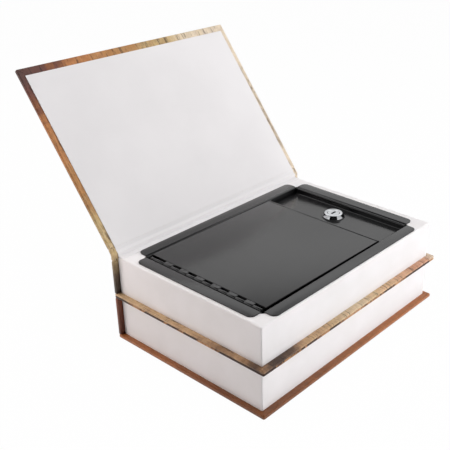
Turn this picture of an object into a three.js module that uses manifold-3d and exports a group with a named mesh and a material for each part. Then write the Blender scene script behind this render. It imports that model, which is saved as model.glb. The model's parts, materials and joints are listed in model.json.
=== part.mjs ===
// Book diversion safe: two hardback books glued into one stack around a folded steel lock box.
// Millimetres, +Z up. X runs from the spine to the fore-edge, Y from the head to the tail.
// The origin is the middle of the lower back cover's underside, on which the stack rests.
// The upper front cover stands open and the steel lid is shut, as a person finds it in use.

import * as THREE from 'three';
import { mergeVertices } from 'three/addons/utils/BufferGeometryUtils.js';
import Module from 'manifold-3d';

const wasm = await Module();
wasm.setup();

// Driving dimensions of the steel box and its flanges
const sheet = 1;
const boxWide = 130.4;
const boxLong = 195.1;
const flangeReach = 12;
const flangeBend = 3;
const flangeCorner = 5;
const flangeRelief = 0.4;
const cutOverrun = 4;

// Driving dimensions of the page blocks: bars of board around the window that takes the box
const windowClearance = 2.5;
const wrapWindowCorner = 4.5;
const spineBar = 15.4;
const foreEdgeBar = 9.8;
const headBar = 12.4;
const tailBar = 16.5;
const lowerBlockDepth = 37.5;
const upperBlockDepth = 34.5;
const wrapPaper = 0.5;
const blockCorner = 1.1;
const blockRound = 1.6;

// Driving dimensions of the cases
const caseBoard = 3;
const middleBoard = 2.1;
const boardRound = 0.8;
const boardCorner = 1.2;
const foreSquare = 5.8;
const endSquare = 4.5;

// Driving dimensions of the open cover
const coverDegrees = 127.8;
const bendDrop = 2.7;
const jointReach = 3.5;
const endpaper = 0.35;
const turnIn = 5.2;
const foreTurnIn = 7;
const endpaperSpare = 0.5;
const closedClearance = 0.3;
const turnedGap = 0.25;

// Driving dimensions of the lid and its piano hinge
const lidGap = 0.8;
const lidSpineGap = 2.8;
const lidBend = 1.6;
const troughLength = 42;
const troughDepth = 5.7;
const troughSlope = 1.6;
const hemReturn = 3.6;
const hemGap = 0.2;
const leafSheet = 0.8;
const leafReach = 11;
const knuckleRadius = 1.8;
const pinRadius = 0.9;
const pinClearance = 0.15;
const knuckleCount = 13;
const knuckleGap = 0.4;
const hingeInset = 6.8;
const hingeEndInset = 1.6;
const lidNotch = 1.6;
const knuckleClearance = 0.5;
const barrelSetOff = 0.3;

// Driving dimensions of the cam lock
const lockFromTail = 20.5;
const lockOffCentre = 3.4;
const headRadius = 9.95;
const headHeight = 3.4;
const headBand = 0.4;
const rimRadius = 8;
const rimRound = 0.6;
const rimFace = 0.7;
const trimRadius = 11;
const trimThick = 0.8;
const barrelRadius = 8;
const barrelLength = 16.7;
const barrelFit = 0.15;
const plugRadius = 5.5;
const plugFit = 0.25;
const plugRecess = 0.5;
const nutAcross = 20;
const nutThick = 3;
const keywayWide = 2;
const keywayLong = 6.4;
const waferCount = 5;
const waferThick = 1.4;
const waferWide = 6.4;
const waferLong = 8.7;
const waferPitch = 2.5;
const waferStart = 3.6;
const waferFit = 0.2;
const waferThrow = 0.8;
const waferArm = 0.9;
const waferWindow = 5;
const waferShiftShares = [-0.08, 0.06, 0, 0.09, -0.04];
const springTurns = 4;
const springWire = 0.12;
const springRadius = 0.28;
const shankAcross = 5.2;
const camThick = 1.8;
const camReach = 16.5;
const camWide = 11;
const camCorner = 2;
const camGap = 0.2;
const screwRadius = 1.15;
const screwHead = 3.6;
const screwHeadThick = 2;
const screwDepth = 5;
const strikeSheet = 1.2;
const strikeReach = 7.5;
const strikeWide = 40;
const strikeBend = 1.8;
const strikeGap = 0.4;

// Levels of the stack, from the table up
const lowerBlockFloor = caseBoard;
const lowerBlockTop = lowerBlockFloor + lowerBlockDepth;
const middleSeam = lowerBlockTop + middleBoard;
const upperBlockFloor = middleSeam + middleBoard;
const blockTop = upperBlockFloor + upperBlockDepth;
const flangeTop = blockTop + sheet;
const coverOuter = flangeTop + closedClearance + endpaper + turnedGap + caseBoard;
const coverBend = coverOuter - bendDrop;

// The window fits the box, the block goes round the window and the case round the block
const margin = sheet + windowClearance;
const windowWide = boxWide + 2 * margin;
const windowLong = boxLong + 2 * margin;
const blockWide = spineBar + windowWide + foreEdgeBar;
const blockLong = headBar + windowLong + tailBar;
const bookWidth = caseBoard + blockWide + foreSquare;
const bookHeight = blockLong + 2 * endSquare;

// Plan lines of the books and of the steel box, measured from the origin
const spineX = -bookWidth / 2;
const foreX = bookWidth / 2;
const headY = -bookHeight / 2;
const tailY = bookHeight / 2;
const block = {
  x0: spineX + caseBoard,
  x1: foreX - foreSquare,
  y0: headY + endSquare,
  y1: tailY - endSquare,
};
const windowPlan = {
  x0: block.x0 + spineBar,
  x1: block.x1 - foreEdgeBar,
  y0: block.y0 + headBar,
  y1: block.y1 - tailBar,
};
const box = grow(windowPlan, -margin);

// Hinge and lock places that several pieces share
const lid = { x0: box.x0 + lidSpineGap, x1: box.x1 - lidGap };
const hingeLine = { x0: lid.x0 + hingeInset, x1: lid.x1 - hingeEndInset };
const barrelY = box.y0 + barrelSetOff + knuckleRadius;
const barrelZ = flangeTop - knuckleRadius;
const panelY = barrelY + knuckleRadius + knuckleClearance;
const lipOuterY = box.y1 - lidGap;
const troughTop = flangeTop - troughDepth;
const lockX = (lid.x0 + lid.x1) / 2 - lockOffCentre;
const lockY = box.y1 - lockFromTail;
const barrelEnd = -barrelLength;
const camTop = barrelEnd - camGap;
const camFloor = camTop - camThick;

// A full circle takes twice its step count in sides
const roundSteps = 18;
const degrees = Math.PI / 180;
const quarter = Math.PI / 2;
const axisX = new THREE.Vector3(1, 0, 0);
const axisY = new THREE.Vector3(0, 1, 0);
const axisZ = new THREE.Vector3(0, 0, 1);

// Finishes
const finish = (name, color, roughness, metalness) =>
  new THREE.MeshStandardMaterial({ name, color, roughness, metalness });
const printedUpper = () => finish('printed upper case', 0xb3946a, 0.55, 0);
const printedLower = () => finish('printed lower case', 0x8b5636, 0.55, 0);
const whitePaper = () => finish('white paper', 0xf2f0f2, 0.8, 0);
const rawBoard = () => finish('fibreboard', 0xb09674, 0.9, 0);
const blackSteel = () => finish('powder coated steel', 0x5c5c5c, 0.5, 0.2);
const plainSteel = () => finish('zinc plated steel', 0xb4b6b8, 0.35, 1);
const chrome = () => finish('chrome', 0xe4e6e8, 0.1, 1);
const darkTrim = () => finish('black trim', 0x1c1c1c, 0.5, 0);
const brass = () => finish('brass', 0xc2a25a, 0.35, 1);

const part = new THREE.Group();

const addMesh = (parent, name, geometry, material) => {
  const mesh = new THREE.Mesh(geometry, material);
  mesh.name = name;
  parent.add(mesh);
  return mesh;
};

// A plan rectangle grown by the same amount on its four sides
function grow(plan, by) {
  return { x0: plan.x0 - by, x1: plan.x1 + by, y0: plan.y0 - by, y1: plan.y1 + by };
}

// Solids for the booleans: corners are rounded to a fine step, so that faces meant to lie in
// one plane do so exactly, then shared corners are merged and empty triangles dropped
const finestStep = 1 / 4096;

const toSolid = (geometry) => {
  const bare = geometry.clone();
  bare.deleteAttribute('normal');
  bare.deleteAttribute('uv');
  const values = bare.attributes.position.array;
  values.forEach((value, i) => {
    values[i] = Math.round(value / finestStep) * finestStep;
  });
  const merged = mergeVertices(bare);
  const corners = merged.index.array;
  const kept = [];
  for (let i = 0; i < corners.length; i += 3) {
    const [a, b, c] = [corners[i], corners[i + 1], corners[i + 2]];
    if (a !== b && b !== c && c !== a) kept.push(a, b, c);
  }
  const vertProperties = new Float32Array(merged.attributes.position.array);
  const triVerts = new Uint32Array(kept);
  return new wasm.Manifold(new wasm.Mesh({ numProp: 3, vertProperties, triVerts }));
};

const toGeometry = (solid) => {
  const mesh = solid.getMesh();
  const geometry = new THREE.BufferGeometry();
  geometry.setAttribute('position', new THREE.BufferAttribute(mesh.vertProperties, 3));
  geometry.setIndex(new THREE.BufferAttribute(mesh.triVerts, 1));
  geometry.computeVertexNormals();
  return geometry;
};

const boxSolid = (x0, x1, y0, y1, z0, z1) => {
  const geometry = new THREE.BoxGeometry(x1 - x0, y1 - y0, z1 - z0);
  geometry.translate((x0 + x1) / 2, (y0 + y1) / 2, (z0 + z1) / 2);
  return toSolid(geometry);
};

const planSolid = (plan, z0, z1) => boxSolid(plan.x0, plan.x1, plan.y0, plan.y1, z0, z1);

// A shape drawn in plan and raised from z0 to z1
const raised = (shape, z0, z1, steps) => {
  const options = { depth: z1 - z0, bevelEnabled: false, curveSegments: steps };
  return new THREE.ExtrudeGeometry(shape, options).translate(0, 0, z0);
};

// A profile drawn as (y, z) and run along X
const alongX = (shape, x0, x1, steps = 8) => {
  const options = { depth: x1 - x0, bevelEnabled: false, curveSegments: steps };
  const turn = new THREE.Matrix4().makeBasis(axisY, axisZ, axisX);
  return new THREE.ExtrudeGeometry(shape, options).applyMatrix4(turn).translate(x0, 0, 0);
};

// A profile drawn as (x, z) and run along Y
const alongY = (shape, y0, y1, steps = 8) => {
  const options = { depth: y1 - y0, bevelEnabled: false, curveSegments: steps };
  const turn = new THREE.Matrix4().makeBasis(axisX, axisZ, axisY.clone().negate());
  return new THREE.ExtrudeGeometry(shape, options).applyMatrix4(turn).translate(0, y1, 0);
};

// The corners of a rectangle with equal round corners, counter-clockwise
const roundedOutline = (plan, radius, steps) => {
  const centres = [
    [plan.x1 - radius, plan.y0 + radius],
    [plan.x1 - radius, plan.y1 - radius],
    [plan.x0 + radius, plan.y1 - radius],
    [plan.x0 + radius, plan.y0 + radius],
  ];
  const points = [];
  centres.forEach(([x, y], corner) => {
    for (let i = 0; i <= steps; i += 1) {
      const angle = (corner - 1 + i / steps) * quarter;
      points.push([x + radius * Math.cos(angle), y + radius * Math.sin(angle)]);
    }
  });
  return points;
};

// A stack of outlines with the same number of corners, skinned and closed at both ends
const loft = (levels) => {
  const count = levels[0].outline.length;
  const positions = [];
  const faces = [];
  for (const { outline, z } of levels) {
    for (const [x, y] of outline) positions.push(x, y, z);
  }
  for (let level = 0; level + 1 < levels.length; level += 1) {
    for (let i = 0; i < count; i += 1) {
      const a = level * count + i;
      const b = level * count + ((i + 1) % count);
      faces.push(a, b, b + count, a, b + count, a + count);
    }
  }
  const top = (levels.length - 1) * count;
  for (let i = 1; i + 1 < count; i += 1) {
    faces.push(0, i + 1, i);
    faces.push(top, top + i, top + i + 1);
  }
  const geometry = new THREE.BufferGeometry();
  geometry.setAttribute('position', new THREE.Float32BufferAttribute(positions, 3));
  geometry.setIndex(faces);
  geometry.computeVertexNormals();
  return geometry;
};

// A slab with round plan corners and quarter-round edges below and above
const roundedSlab = (plan, z0, z1, corner, below, above, steps) => {
  const level = (inset, z) => ({ outline: roundedOutline(grow(plan, -inset), corner, steps), z });
  const levels = [];
  for (let i = 0; i <= steps && below > 0; i += 1) {
    const angle = (quarter * i) / steps;
    levels.push(level(below * (1 - Math.sin(angle)), z0 + below * (1 - Math.cos(angle))));
  }
  if (below === 0) levels.push(level(0, z0));
  if (above === 0) levels.push(level(0, z1));
  for (let i = 0; i <= steps && above > 0; i += 1) {
    const angle = (quarter * i) / steps;
    levels.push(level(above * (1 - Math.cos(angle)), z1 - above * (1 - Math.sin(angle))));
  }
  return loft(levels);
};

// A path of straight runs joined by arcs of one radius
const filletPath = (corners, radius, steps) => {
  const points = corners.map(([x, y]) => new THREE.Vector2(x, y));
  const path = [points[0]];
  for (let i = 1; i + 1 < points.length; i += 1) {
    const into = points[i].clone().sub(points[i - 1]).normalize();
    const out = points[i + 1].clone().sub(points[i]).normalize();
    const turn = Math.atan2(into.x * out.y - into.y * out.x, into.dot(out));
    const reach = radius * Math.tan(Math.abs(turn) / 2);
    const side = Math.sign(turn);
    const start = points[i].clone().addScaledVector(into, -reach);
    const centre = start.clone().add(new THREE.Vector2(-into.y, into.x).multiplyScalar(side * radius));
    for (let k = 0; k <= steps; k += 1) {
      path.push(start.clone().rotateAround(centre, (turn * k) / steps));
    }
  }
  path.push(points[points.length - 1]);
  return path;
};

// Sheet of one thickness folded along a path that is its middle line
const foldedSheet = (path, thickness) => {
  const left = [];
  const right = [];
  path.forEach((point, i) => {
    const before = path[Math.max(i - 1, 0)];
    const after = path[Math.min(i + 1, path.length - 1)];
    const into = point.clone().sub(before);
    const out = after.clone().sub(point);
    const first = into.lengthSq() > 0 ? into.normalize() : out.clone().normalize();
    const second = out.lengthSq() > 0 ? out.normalize() : first.clone();
    const middle = first.clone().add(second).normalize();
    const half = thickness / 2 / Math.max(middle.dot(first), 0.5);
    const normal = new THREE.Vector2(-middle.y, middle.x);
    left.push(point.clone().addScaledVector(normal, half));
    right.push(point.clone().addScaledVector(normal, -half));
  });
  return new THREE.Shape([...right, ...left.reverse()]);
};

const circleShape = (x, y, radius) => {
  const shape = new THREE.Shape();
  shape.absarc(x, y, radius, 0, 2 * Math.PI, false);
  return shape;
};

const ringShape = (x, y, outer, inner) => {
  const shape = circleShape(x, y, outer);
  shape.holes.push(circleShape(x, y, inner));
  return shape;
};

const rectangleShape = (x0, x1, y0, y1) => {
  const corners = [[x0, y0], [x1, y0], [x1, y1], [x0, y1]];
  return new THREE.Shape(corners.map(([x, y]) => new THREE.Vector2(x, y)));
};

const cylinderSolid = (x, y, radius, z0, z1, steps) =>
  toSolid(raised(circleShape(x, y, radius), z0, z1, steps));

// A closed (radius, height) profile turned about the vertical axis
const turned = (profile, segments) => {
  const points = profile.map(([r, z]) => new THREE.Vector2(r, z));
  return new THREE.LatheGeometry(points, segments).rotateX(quarter);
};

// Case boards: wrapped board with soft edges
const boardSteps = 3;
const bookPlan = { x0: spineX, x1: foreX, y0: headY, y1: tailY };

const caseBoardSolid = (plan, z0, z1) => {
  const round = Math.min(boardRound, (z1 - z0) / 3);
  return toSolid(roundedSlab(plan, z0, z1, boardCorner, round, round, boardSteps));
};

const windowSolid = (z0, z1) => planSolid(windowPlan, z0 - cutOverrun, z1 + cutOverrun);

function addCases() {
  const backCover = caseBoardSolid(bookPlan, 0, caseBoard);
  addMesh(part, 'lower_back_cover', toGeometry(backCover), printedLower());

  const frontBoard = caseBoardSolid(bookPlan, lowerBlockTop, middleSeam);
  const frontWindow = windowSolid(lowerBlockTop, middleSeam);
  addMesh(part, 'lower_front_board', toGeometry(frontBoard.subtract(frontWindow)), printedLower());

  const backBoard = caseBoardSolid(bookPlan, middleSeam, upperBlockFloor);
  const backWindow = windowSolid(middleSeam, upperBlockFloor);
  addMesh(part, 'upper_back_board', toGeometry(backBoard.subtract(backWindow)), printedUpper());

  const spinePlan = { x0: spineX, x1: spineX + caseBoard, y0: headY, y1: tailY };
  const lowerSpine = caseBoardSolid(spinePlan, lowerBlockFloor, lowerBlockTop);
  addMesh(part, 'lower_spine', toGeometry(lowerSpine), printedLower());
  const upperSpine = caseBoardSolid(spinePlan, upperBlockFloor, spineTop - turnedGap);
  addMesh(part, 'upper_spine', toGeometry(upperSpine), printedUpper());
}

// Page blocks: four glued bars of board in one white paper wrap
const wrapSteps = 4;
const wrapInset = grow(block, -wrapPaper);

function blockWrap(z0, z1) {
  const outer = toSolid(roundedSlab(block, z0, z1, blockCorner, 0, blockRound, wrapSteps));
  const innerCorner = blockCorner - wrapPaper;
  const innerRound = blockRound - wrapPaper;
  const floor = z0 - cutOverrun;
  const ceiling = z1 - wrapPaper;
  const inner = roundedSlab(wrapInset, floor, ceiling, innerCorner, 0, innerRound, wrapSteps);
  const opening = roundedSlab(windowPlan, floor, z1 + cutOverrun, wrapWindowCorner, 0, 0, wrapSteps);
  return toGeometry(outer.subtract(toSolid(inner)).subtract(toSolid(opening)));
}

// The core inside the wrap has plain chamfers where the wrap is round
function blockBars(z0, z1) {
  const chamfer = blockRound - wrapPaper;
  const corner = blockCorner - wrapPaper;
  const top = z1 - wrapPaper;
  const core = toSolid(roundedSlab(wrapInset, z0, top, corner, 0, chamfer, 1));
  const { x0, x1, y0, y1 } = wrapInset;
  const plans = {
    head: { x0, x1, y0, y1: windowPlan.y0 },
    tail: { x0, x1, y0: windowPlan.y1, y1 },
    spine: { x0, x1: windowPlan.x0, y0: windowPlan.y0, y1: windowPlan.y1 },
    fore_edge: { x0: windowPlan.x1, x1, y0: windowPlan.y0, y1: windowPlan.y1 },
  };
  return Object.entries(plans).map(([side, plan]) => {
    const bar = core.intersect(planSolid(plan, z0 - cutOverrun, z1 + cutOverrun));
    return [side, toGeometry(bar)];
  });
}

function addBlock(name, z0, z1) {
  addMesh(part, `${name}_block_wrap`, blockWrap(z0, z1), whitePaper());
  for (const [side, geometry] of blockBars(z0, z1)) {
    addMesh(part, `${name}_block_${side}_bar`, geometry, rawBoard());
  }
}

// Open, the cover's outer face meets the spine's outer face at the bend. The cover turns about a
// line over the bend, placed so that the same face lies at the shut book's top when it is shut.
const coverAngle = coverDegrees * degrees;
const coverAlong = new THREE.Vector2(Math.cos(coverAngle), Math.sin(coverAngle));
const coverInward = new THREE.Vector2(Math.sin(coverAngle), -Math.cos(coverAngle));
const bend = new THREE.Vector2(spineX, coverBend);
const pivotZ = (coverOuter + coverInward.y * coverBend) / (1 + coverInward.y);
const faceOffset = coverOuter - pivotZ;
const boardStart = jointReach + (pivotZ - coverBend) * coverAlong.y;
const spineTop = coverBend - boardStart;

const coverPoint = (along, inward) =>
  bend.clone().addScaledVector(coverAlong, along).addScaledVector(coverInward, inward);

function addCover() {
  const cover = new THREE.Group();
  cover.position.set(spineX, 0, pivotZ);
  cover.rotation.y = -coverAngle;
  part.add(cover);

  const boardPlan = { x0: jointReach, x1: bookWidth, y0: headY, y1: tailY };
  const board = caseBoardSolid(boardPlan, faceOffset - caseBoard, faceOffset);
  addMesh(cover, 'upper_front_cover', toGeometry(board), printedUpper());

  const liningPlan = {
    x0: jointReach,
    x1: bookWidth - foreTurnIn,
    y0: headY + turnIn,
    y1: tailY - turnIn,
  };
  const liningTop = faceOffset - caseBoard - turnedGap;
  const lining = roundedSlab(liningPlan, liningTop - endpaper, liningTop, boardCorner, 0, 0, 1);
  addMesh(cover, 'cover_pastedown', lining, whitePaper());
}

// The case's joint: printed cloth bends in one arc from the spine board to the cover board,
// and its turned-in lining fills the shoulder as far as the page block
const jointSteps = 8;
const jointEnd = boardStart - turnedGap;

function jointArc() {
  const lean = coverAngle - quarter;
  const radius = boardStart / Math.tan(lean / 2);
  const centreX = spineX - radius;
  const end = lean - turnedGap / radius;
  const points = [];
  for (let i = 0; i <= jointSteps; i += 1) {
    const angle = (end * i) / jointSteps;
    const x = centreX + radius * Math.cos(angle);
    points.push(new THREE.Vector2(x, spineTop + radius * Math.sin(angle)));
  }
  return points;
}

// Where the cover's plane at one depth below its outer face meets a vertical line
const shoulderPoint = (x, inward) =>
  coverPoint((spineX + coverInward.x * inward - x) / -coverAlong.x, inward);

function addJoint() {
  const inner = [
    coverPoint(jointEnd, caseBoard),
    shoulderPoint(block.x0, caseBoard),
    new THREE.Vector2(block.x0, spineTop),
  ];
  const outline = new THREE.Shape([...jointArc(), ...inner].reverse());
  const inset = boardRound / 2;
  const cloth = alongY(outline, headY + inset, tailY - inset);
  addMesh(part, 'cover_joint_cloth', cloth, printedUpper());

  // The endpaper runs down from the cover, creases over the shoulder and is glued to the block
  const depth = caseBoard + turnedGap + endpaper / 2;
  const shoulderX = block.x0 + turnedGap + endpaper / 2;
  const glued = blockTop + endpaper / 2;
  const gluedEnd = box.x0 - flangeReach - endpaperSpare;
  const corners = [
    coverPoint(jointEnd, depth),
    shoulderPoint(shoulderX, depth),
    new THREE.Vector2(shoulderX, glued),
    new THREE.Vector2(gluedEnd, glued),
  ];
  const path = filletPath(corners.map(({ x, y }) => [x, y]), endpaper, 3);
  const paper = alongY(foldedSheet(path, endpaper), headY + turnIn, tailY - turnIn);
  addMesh(part, 'endpaper_joint', paper, whitePaper());
}

// One bent flange in its own frame: u runs outward from the wall's inner face, w along the wall
const flangeSteps = 5;

function flangeSolid(length) {
  const low = flangeTop - flangeBend - sheet;
  const path = filletPath(
    [[sheet / 2, low], [sheet / 2, flangeTop - sheet / 2], [flangeReach, flangeTop - sheet / 2]],
    flangeBend - sheet / 2,
    flangeSteps,
  );
  const profile = toSolid(alongY(foldedSheet(path, sheet), 0, length));
  const outline = new THREE.Shape();
  outline.moveTo(0, 0);
  outline.lineTo(flangeReach - flangeCorner, 0);
  outline.absarc(flangeReach - flangeCorner, flangeCorner, flangeCorner, -quarter, 0, false);
  outline.lineTo(flangeReach, length - flangeCorner);
  outline.absarc(
    flangeReach - flangeCorner, length - flangeCorner, flangeCorner, 0, quarter, false,
  );
  outline.lineTo(0, length);
  return profile.intersect(toSolid(raised(outline, low - cutOverrun, flangeTop + cutOverrun, 5)));
}

const placed = (solid, outward, x, y) => {
  const along = axisZ.clone().cross(outward);
  const place = new THREE.Matrix4().makeBasis(outward, along, axisZ).setPosition(x, y, 0);
  return toSolid(toGeometry(solid).applyMatrix4(place));
};

function addLockBox() {
  const floor = caseBoard;
  const wallTop = flangeTop - flangeBend;
  const outer = planSolid(grow(box, sheet), floor, wallTop);
  const inner = planSolid(box, floor + sheet, wallTop + cutOverrun);
  const long = flangeSolid(boxLong - 2 * flangeRelief);
  const short = flangeSolid(boxWide - 2 * flangeRelief);
  const back = axisX.clone().negate();
  const down = axisY.clone().negate();
  const solid = outer.subtract(inner)
    .add(placed(long, axisX, box.x1, box.y0 + flangeRelief))
    .add(placed(long, back, box.x0, box.y1 - flangeRelief))
    .add(placed(short, axisY, box.x1 - flangeRelief, box.y1))
    .add(placed(short, down, box.x0 + flangeRelief, box.y0));
  addMesh(part, 'lock_box', toGeometry(solid), blackSteel());
}

// Knuckles of the piano hinge, counted from the spine side: even ones belong to the box
const knuckleSteps = 4;
const knucklePitch = (hingeLine.x1 - hingeLine.x0) / knuckleCount;
const knuckleSpan = (i) => [
  hingeLine.x0 + i * knucklePitch + knuckleGap / 2,
  hingeLine.x0 + (i + 1) * knucklePitch - knuckleGap / 2,
];
const bore = pinRadius + pinClearance;

function hingeLeaf(plate, notch, first) {
  let leaf = plate;
  for (let i = 0; i < knuckleCount; i += 1) {
    const [x0, x1] = knuckleSpan(i);
    if (i % 2 === first) {
      const ring = ringShape(barrelY, barrelZ, knuckleRadius, bore);
      leaf = leaf.add(toSolid(alongX(ring, x0, x1, knuckleSteps)));
    } else {
      leaf = leaf.subtract(notch(x0 - knuckleGap, x1 + knuckleGap));
    }
  }
  const pinHole = alongX(circleShape(barrelY, barrelZ, bore), lid.x0 - sheet, lid.x1 + sheet, knuckleSteps);
  return toGeometry(leaf.subtract(toSolid(pinHole)));
}

function addHinge() {
  const [x0] = knuckleSpan(0);
  const [, x1] = knuckleSpan(knuckleCount - 1);
  const notchReach = knuckleRadius + knuckleClearance;

  const boxPlate = boxSolid(x0, x1, box.y0, box.y0 + leafSheet, barrelZ - leafReach, barrelZ);
  const boxNotch = (a, b) =>
    boxSolid(a, b, box.y0 - sheet, box.y0 + sheet, barrelZ - notchReach, barrelZ + sheet);
  addMesh(part, 'hinge_leaf_box', hingeLeaf(boxPlate, boxNotch, 0), blackSteel());

  const lidPlate = boxSolid(x0, x1, barrelY, panelY + leafReach, blockTop - leafSheet, blockTop);
  const leafNotch = (a, b) =>
    boxSolid(a, b, barrelY - sheet, panelY + lidNotch, barrelZ - sheet, blockTop + sheet);
  addMesh(part, 'hinge_leaf_lid', hingeLeaf(lidPlate, leafNotch, 1), blackSteel());

  const pin = alongX(circleShape(barrelY, barrelZ, pinRadius), x0, x1, knuckleSteps);
  addMesh(part, 'hinge_pin', pin, plainSteel());
}

// The lid: flush panel, step down to the lock trough and a hemmed lip at the tail
function lidPath() {
  const top = flangeTop - sheet / 2;
  const low = troughTop - sheet / 2;
  const hem = sheet + hemGap;
  const innerLip = lipOuterY - sheet / 2 - hem;
  const outerLip = lipOuterY - sheet / 2;
  const stepY = lipOuterY - troughLength;
  const rise = flangeTop - sheet / 2;
  const body = filletPath(
    [[panelY, top], [stepY, top], [stepY + troughSlope, low], [innerLip, low], [innerLip, rise - hem]],
    lidBend,
    5,
  );
  const crown = [];
  const centre = new THREE.Vector2((innerLip + outerLip) / 2, rise - hem / 2);
  for (let i = 0; i <= 6; i += 1) {
    const angle = Math.PI * (1 - i / 6);
    const reach = hem / 2;
    crown.push(new THREE.Vector2(
      centre.x + reach * Math.cos(angle),
      centre.y + reach * Math.sin(angle),
    ));
  }
  return [...body, ...crown, new THREE.Vector2(outerLip, rise - hemReturn)];
}

function addLid() {
  let panel = toSolid(alongX(foldedSheet(lidPath(), sheet), lid.x0, lid.x1));
  for (let i = 0; i < knuckleCount; i += 2) {
    const [start, end] = knuckleSpan(i);
    const from = i === 0 ? lid.x0 - sheet : start - knuckleGap;
    const notch = boxSolid(
      from, end + knuckleGap, panelY - sheet, panelY + lidNotch, blockTop - sheet, flangeTop + sheet,
    );
    panel = panel.subtract(notch);
  }
  const floor = troughTop - cutOverrun;
  const hole = cylinderSolid(
    lockX, lockY, barrelRadius + barrelFit, floor, troughTop + sheet, roundSteps,
  );
  addMesh(part, 'lid_panel', toGeometry(panel.subtract(hole)), blackSteel());
}

// The strike channel on the tail wall: its top leg carries the trough, its lower leg stops the cam
function addStrike() {
  const top = troughTop - sheet - strikeGap - strikeSheet / 2;
  const low = troughTop + camTop + strikeGap + strikeSheet / 2;
  const web = box.y1 - strikeSheet / 2;
  const tip = box.y1 - strikeReach;
  const path = filletPath([[tip, top], [web, top], [web, low], [tip, low]], strikeBend, 4);
  const channel = alongX(
    foldedSheet(path, strikeSheet), lockX - strikeWide / 2, lockX + strikeWide / 2,
  );
  addMesh(part, 'strike_channel', channel, blackSteel());
}

// The lock's parts stand in their own frame, whose zero height is the trough's upper face
const lock = new THREE.Group();
lock.position.set(lockX, lockY, troughTop);
part.add(lock);

const boreRadius = plugRadius + plugFit;
const headTop = trimThick + headHeight;
const waferHeight = (i) => -waferStart - i * waferPitch;

function housingProfile() {
  const shoulder = trimThick + headBand;
  const points = [[boreRadius, barrelEnd], [barrelRadius, barrelEnd], [barrelRadius, trimThick]];
  points.push([headRadius, trimThick]);
  points.push([headRadius, shoulder]);
  const steps = 4;
  for (let i = 0; i <= steps; i += 1) {
    const angle = (quarter * i) / steps;
    points.push([
      rimRadius + rimRound * Math.cos(angle),
      headTop - rimRound * (1 - Math.sin(angle)),
    ]);
  }
  points.push([boreRadius + rimFace / 2, headTop], [boreRadius, headTop - rimFace]);
  points.push([boreRadius, barrelEnd]);
  return points;
}

function addHousing() {
  const body = toSolid(turned(housingProfile(), 2 * roundSteps));
  const channelReach = plugRadius + waferThrow + waferFit + plugFit;
  const channelWide = waferWide / 2 + waferFit;
  const channelTop = waferHeight(0) + waferThick / 2 + waferFit;
  const channelLow = waferHeight(waferCount - 1) - waferThick / 2 - waferFit;
  const across = boxSolid(
    -channelReach, channelReach, -channelWide, channelWide, channelLow, channelTop,
  );
  const along = boxSolid(
    -channelWide, channelWide, -channelReach, channelReach, channelLow, channelTop,
  );
  addMesh(lock, 'lock_housing', toGeometry(body.subtract(across).subtract(along)), chrome());
}

function addLockTrim() {
  const ring = ringShape(0, 0, trimRadius, barrelRadius + barrelFit);
  addMesh(lock, 'lock_trim_ring', raised(ring, 0, trimThick, roundSteps), darkTrim());

  const nut = new THREE.Shape();
  for (let i = 0; i < 6; i += 1) {
    const angle = (60 * i + 30) * degrees;
    const reach = nutAcross / 2 / Math.cos(Math.PI / 6);
    const [x, y] = [reach * Math.cos(angle), reach * Math.sin(angle)];
    if (i === 0) nut.moveTo(x, y);
    else nut.lineTo(x, y);
  }
  nut.closePath();
  nut.holes.push(circleShape(0, 0, barrelRadius + barrelFit));
  addMesh(lock, 'lock_nut', raised(nut, -sheet - nutThick, -sheet, roundSteps), plainSteel());
}

// Wafers: flat plates with a key window and one sprung arm, bitted by small shifts of the window
const chamber = {
  x0: waferWide / 2,
  x1: waferWide / 2 + waferFit + waferArm + waferFit / 2,
  y0: -(waferArm + waferArm + waferArm / 2),
  y1: waferArm + waferArm + waferThrow + waferFit,
};

function addWafer(i) {
  const z = waferHeight(i);
  const half = waferThick / 2;
  const shift = waferShiftShares[i % waferShiftShares.length] * waferLong;
  const plate = boxSolid(-waferWide / 2, waferWide / 2, -waferLong / 2, waferLong / 2, z - half, z + half);
  const arm = boxSolid(0, waferWide / 2 + waferArm, waferArm, 2 * waferArm, z - half, z + half);
  const keyWide = keywayWide / 2 + waferFit;
  const keyLong = waferWindow / 2;
  const key = boxSolid(-keyWide, keyWide, shift - keyLong, shift + keyLong, z - waferThick, z + waferThick);
  addMesh(lock, `lock_wafer_${i + 1}`, toGeometry(plate.add(arm).subtract(key)), brass());
}

class CoilCurve extends THREE.Curve {
  constructor(centre, length) {
    super();
    this.centre = centre;
    this.length = length;
  }

  getPoint(share) {
    const angle = share * springTurns * 2 * Math.PI;
    return new THREE.Vector3(
      this.centre.x + springRadius * Math.cos(angle),
      this.centre.y + share * this.length,
      this.centre.z + springRadius * Math.sin(angle),
    );
  }
}

function addWaferSpring(i) {
  const x = (chamber.x0 + waferFit + chamber.x1) / 2;
  const seat = springWire + waferFit / 4;
  const low = chamber.y0 + seat;
  const high = waferArm - seat;
  const curve = new CoilCurve(new THREE.Vector3(x, low, waferHeight(i)), high - low);
  const wire = new THREE.Shape();
  for (let k = 0; k < 5; k += 1) {
    const angle = (2 * Math.PI * k) / 5;
    const [a, b] = [springWire * Math.cos(angle), springWire * Math.sin(angle)];
    if (k === 0) wire.moveTo(a, b);
    else wire.lineTo(a, b);
  }
  wire.closePath();
  const options = { steps: springTurns * 8, extrudePath: curve, bevelEnabled: false };
  addMesh(lock, `wafer_spring_${i + 1}`, new THREE.ExtrudeGeometry(wire, options), plainSteel());
}

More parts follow.
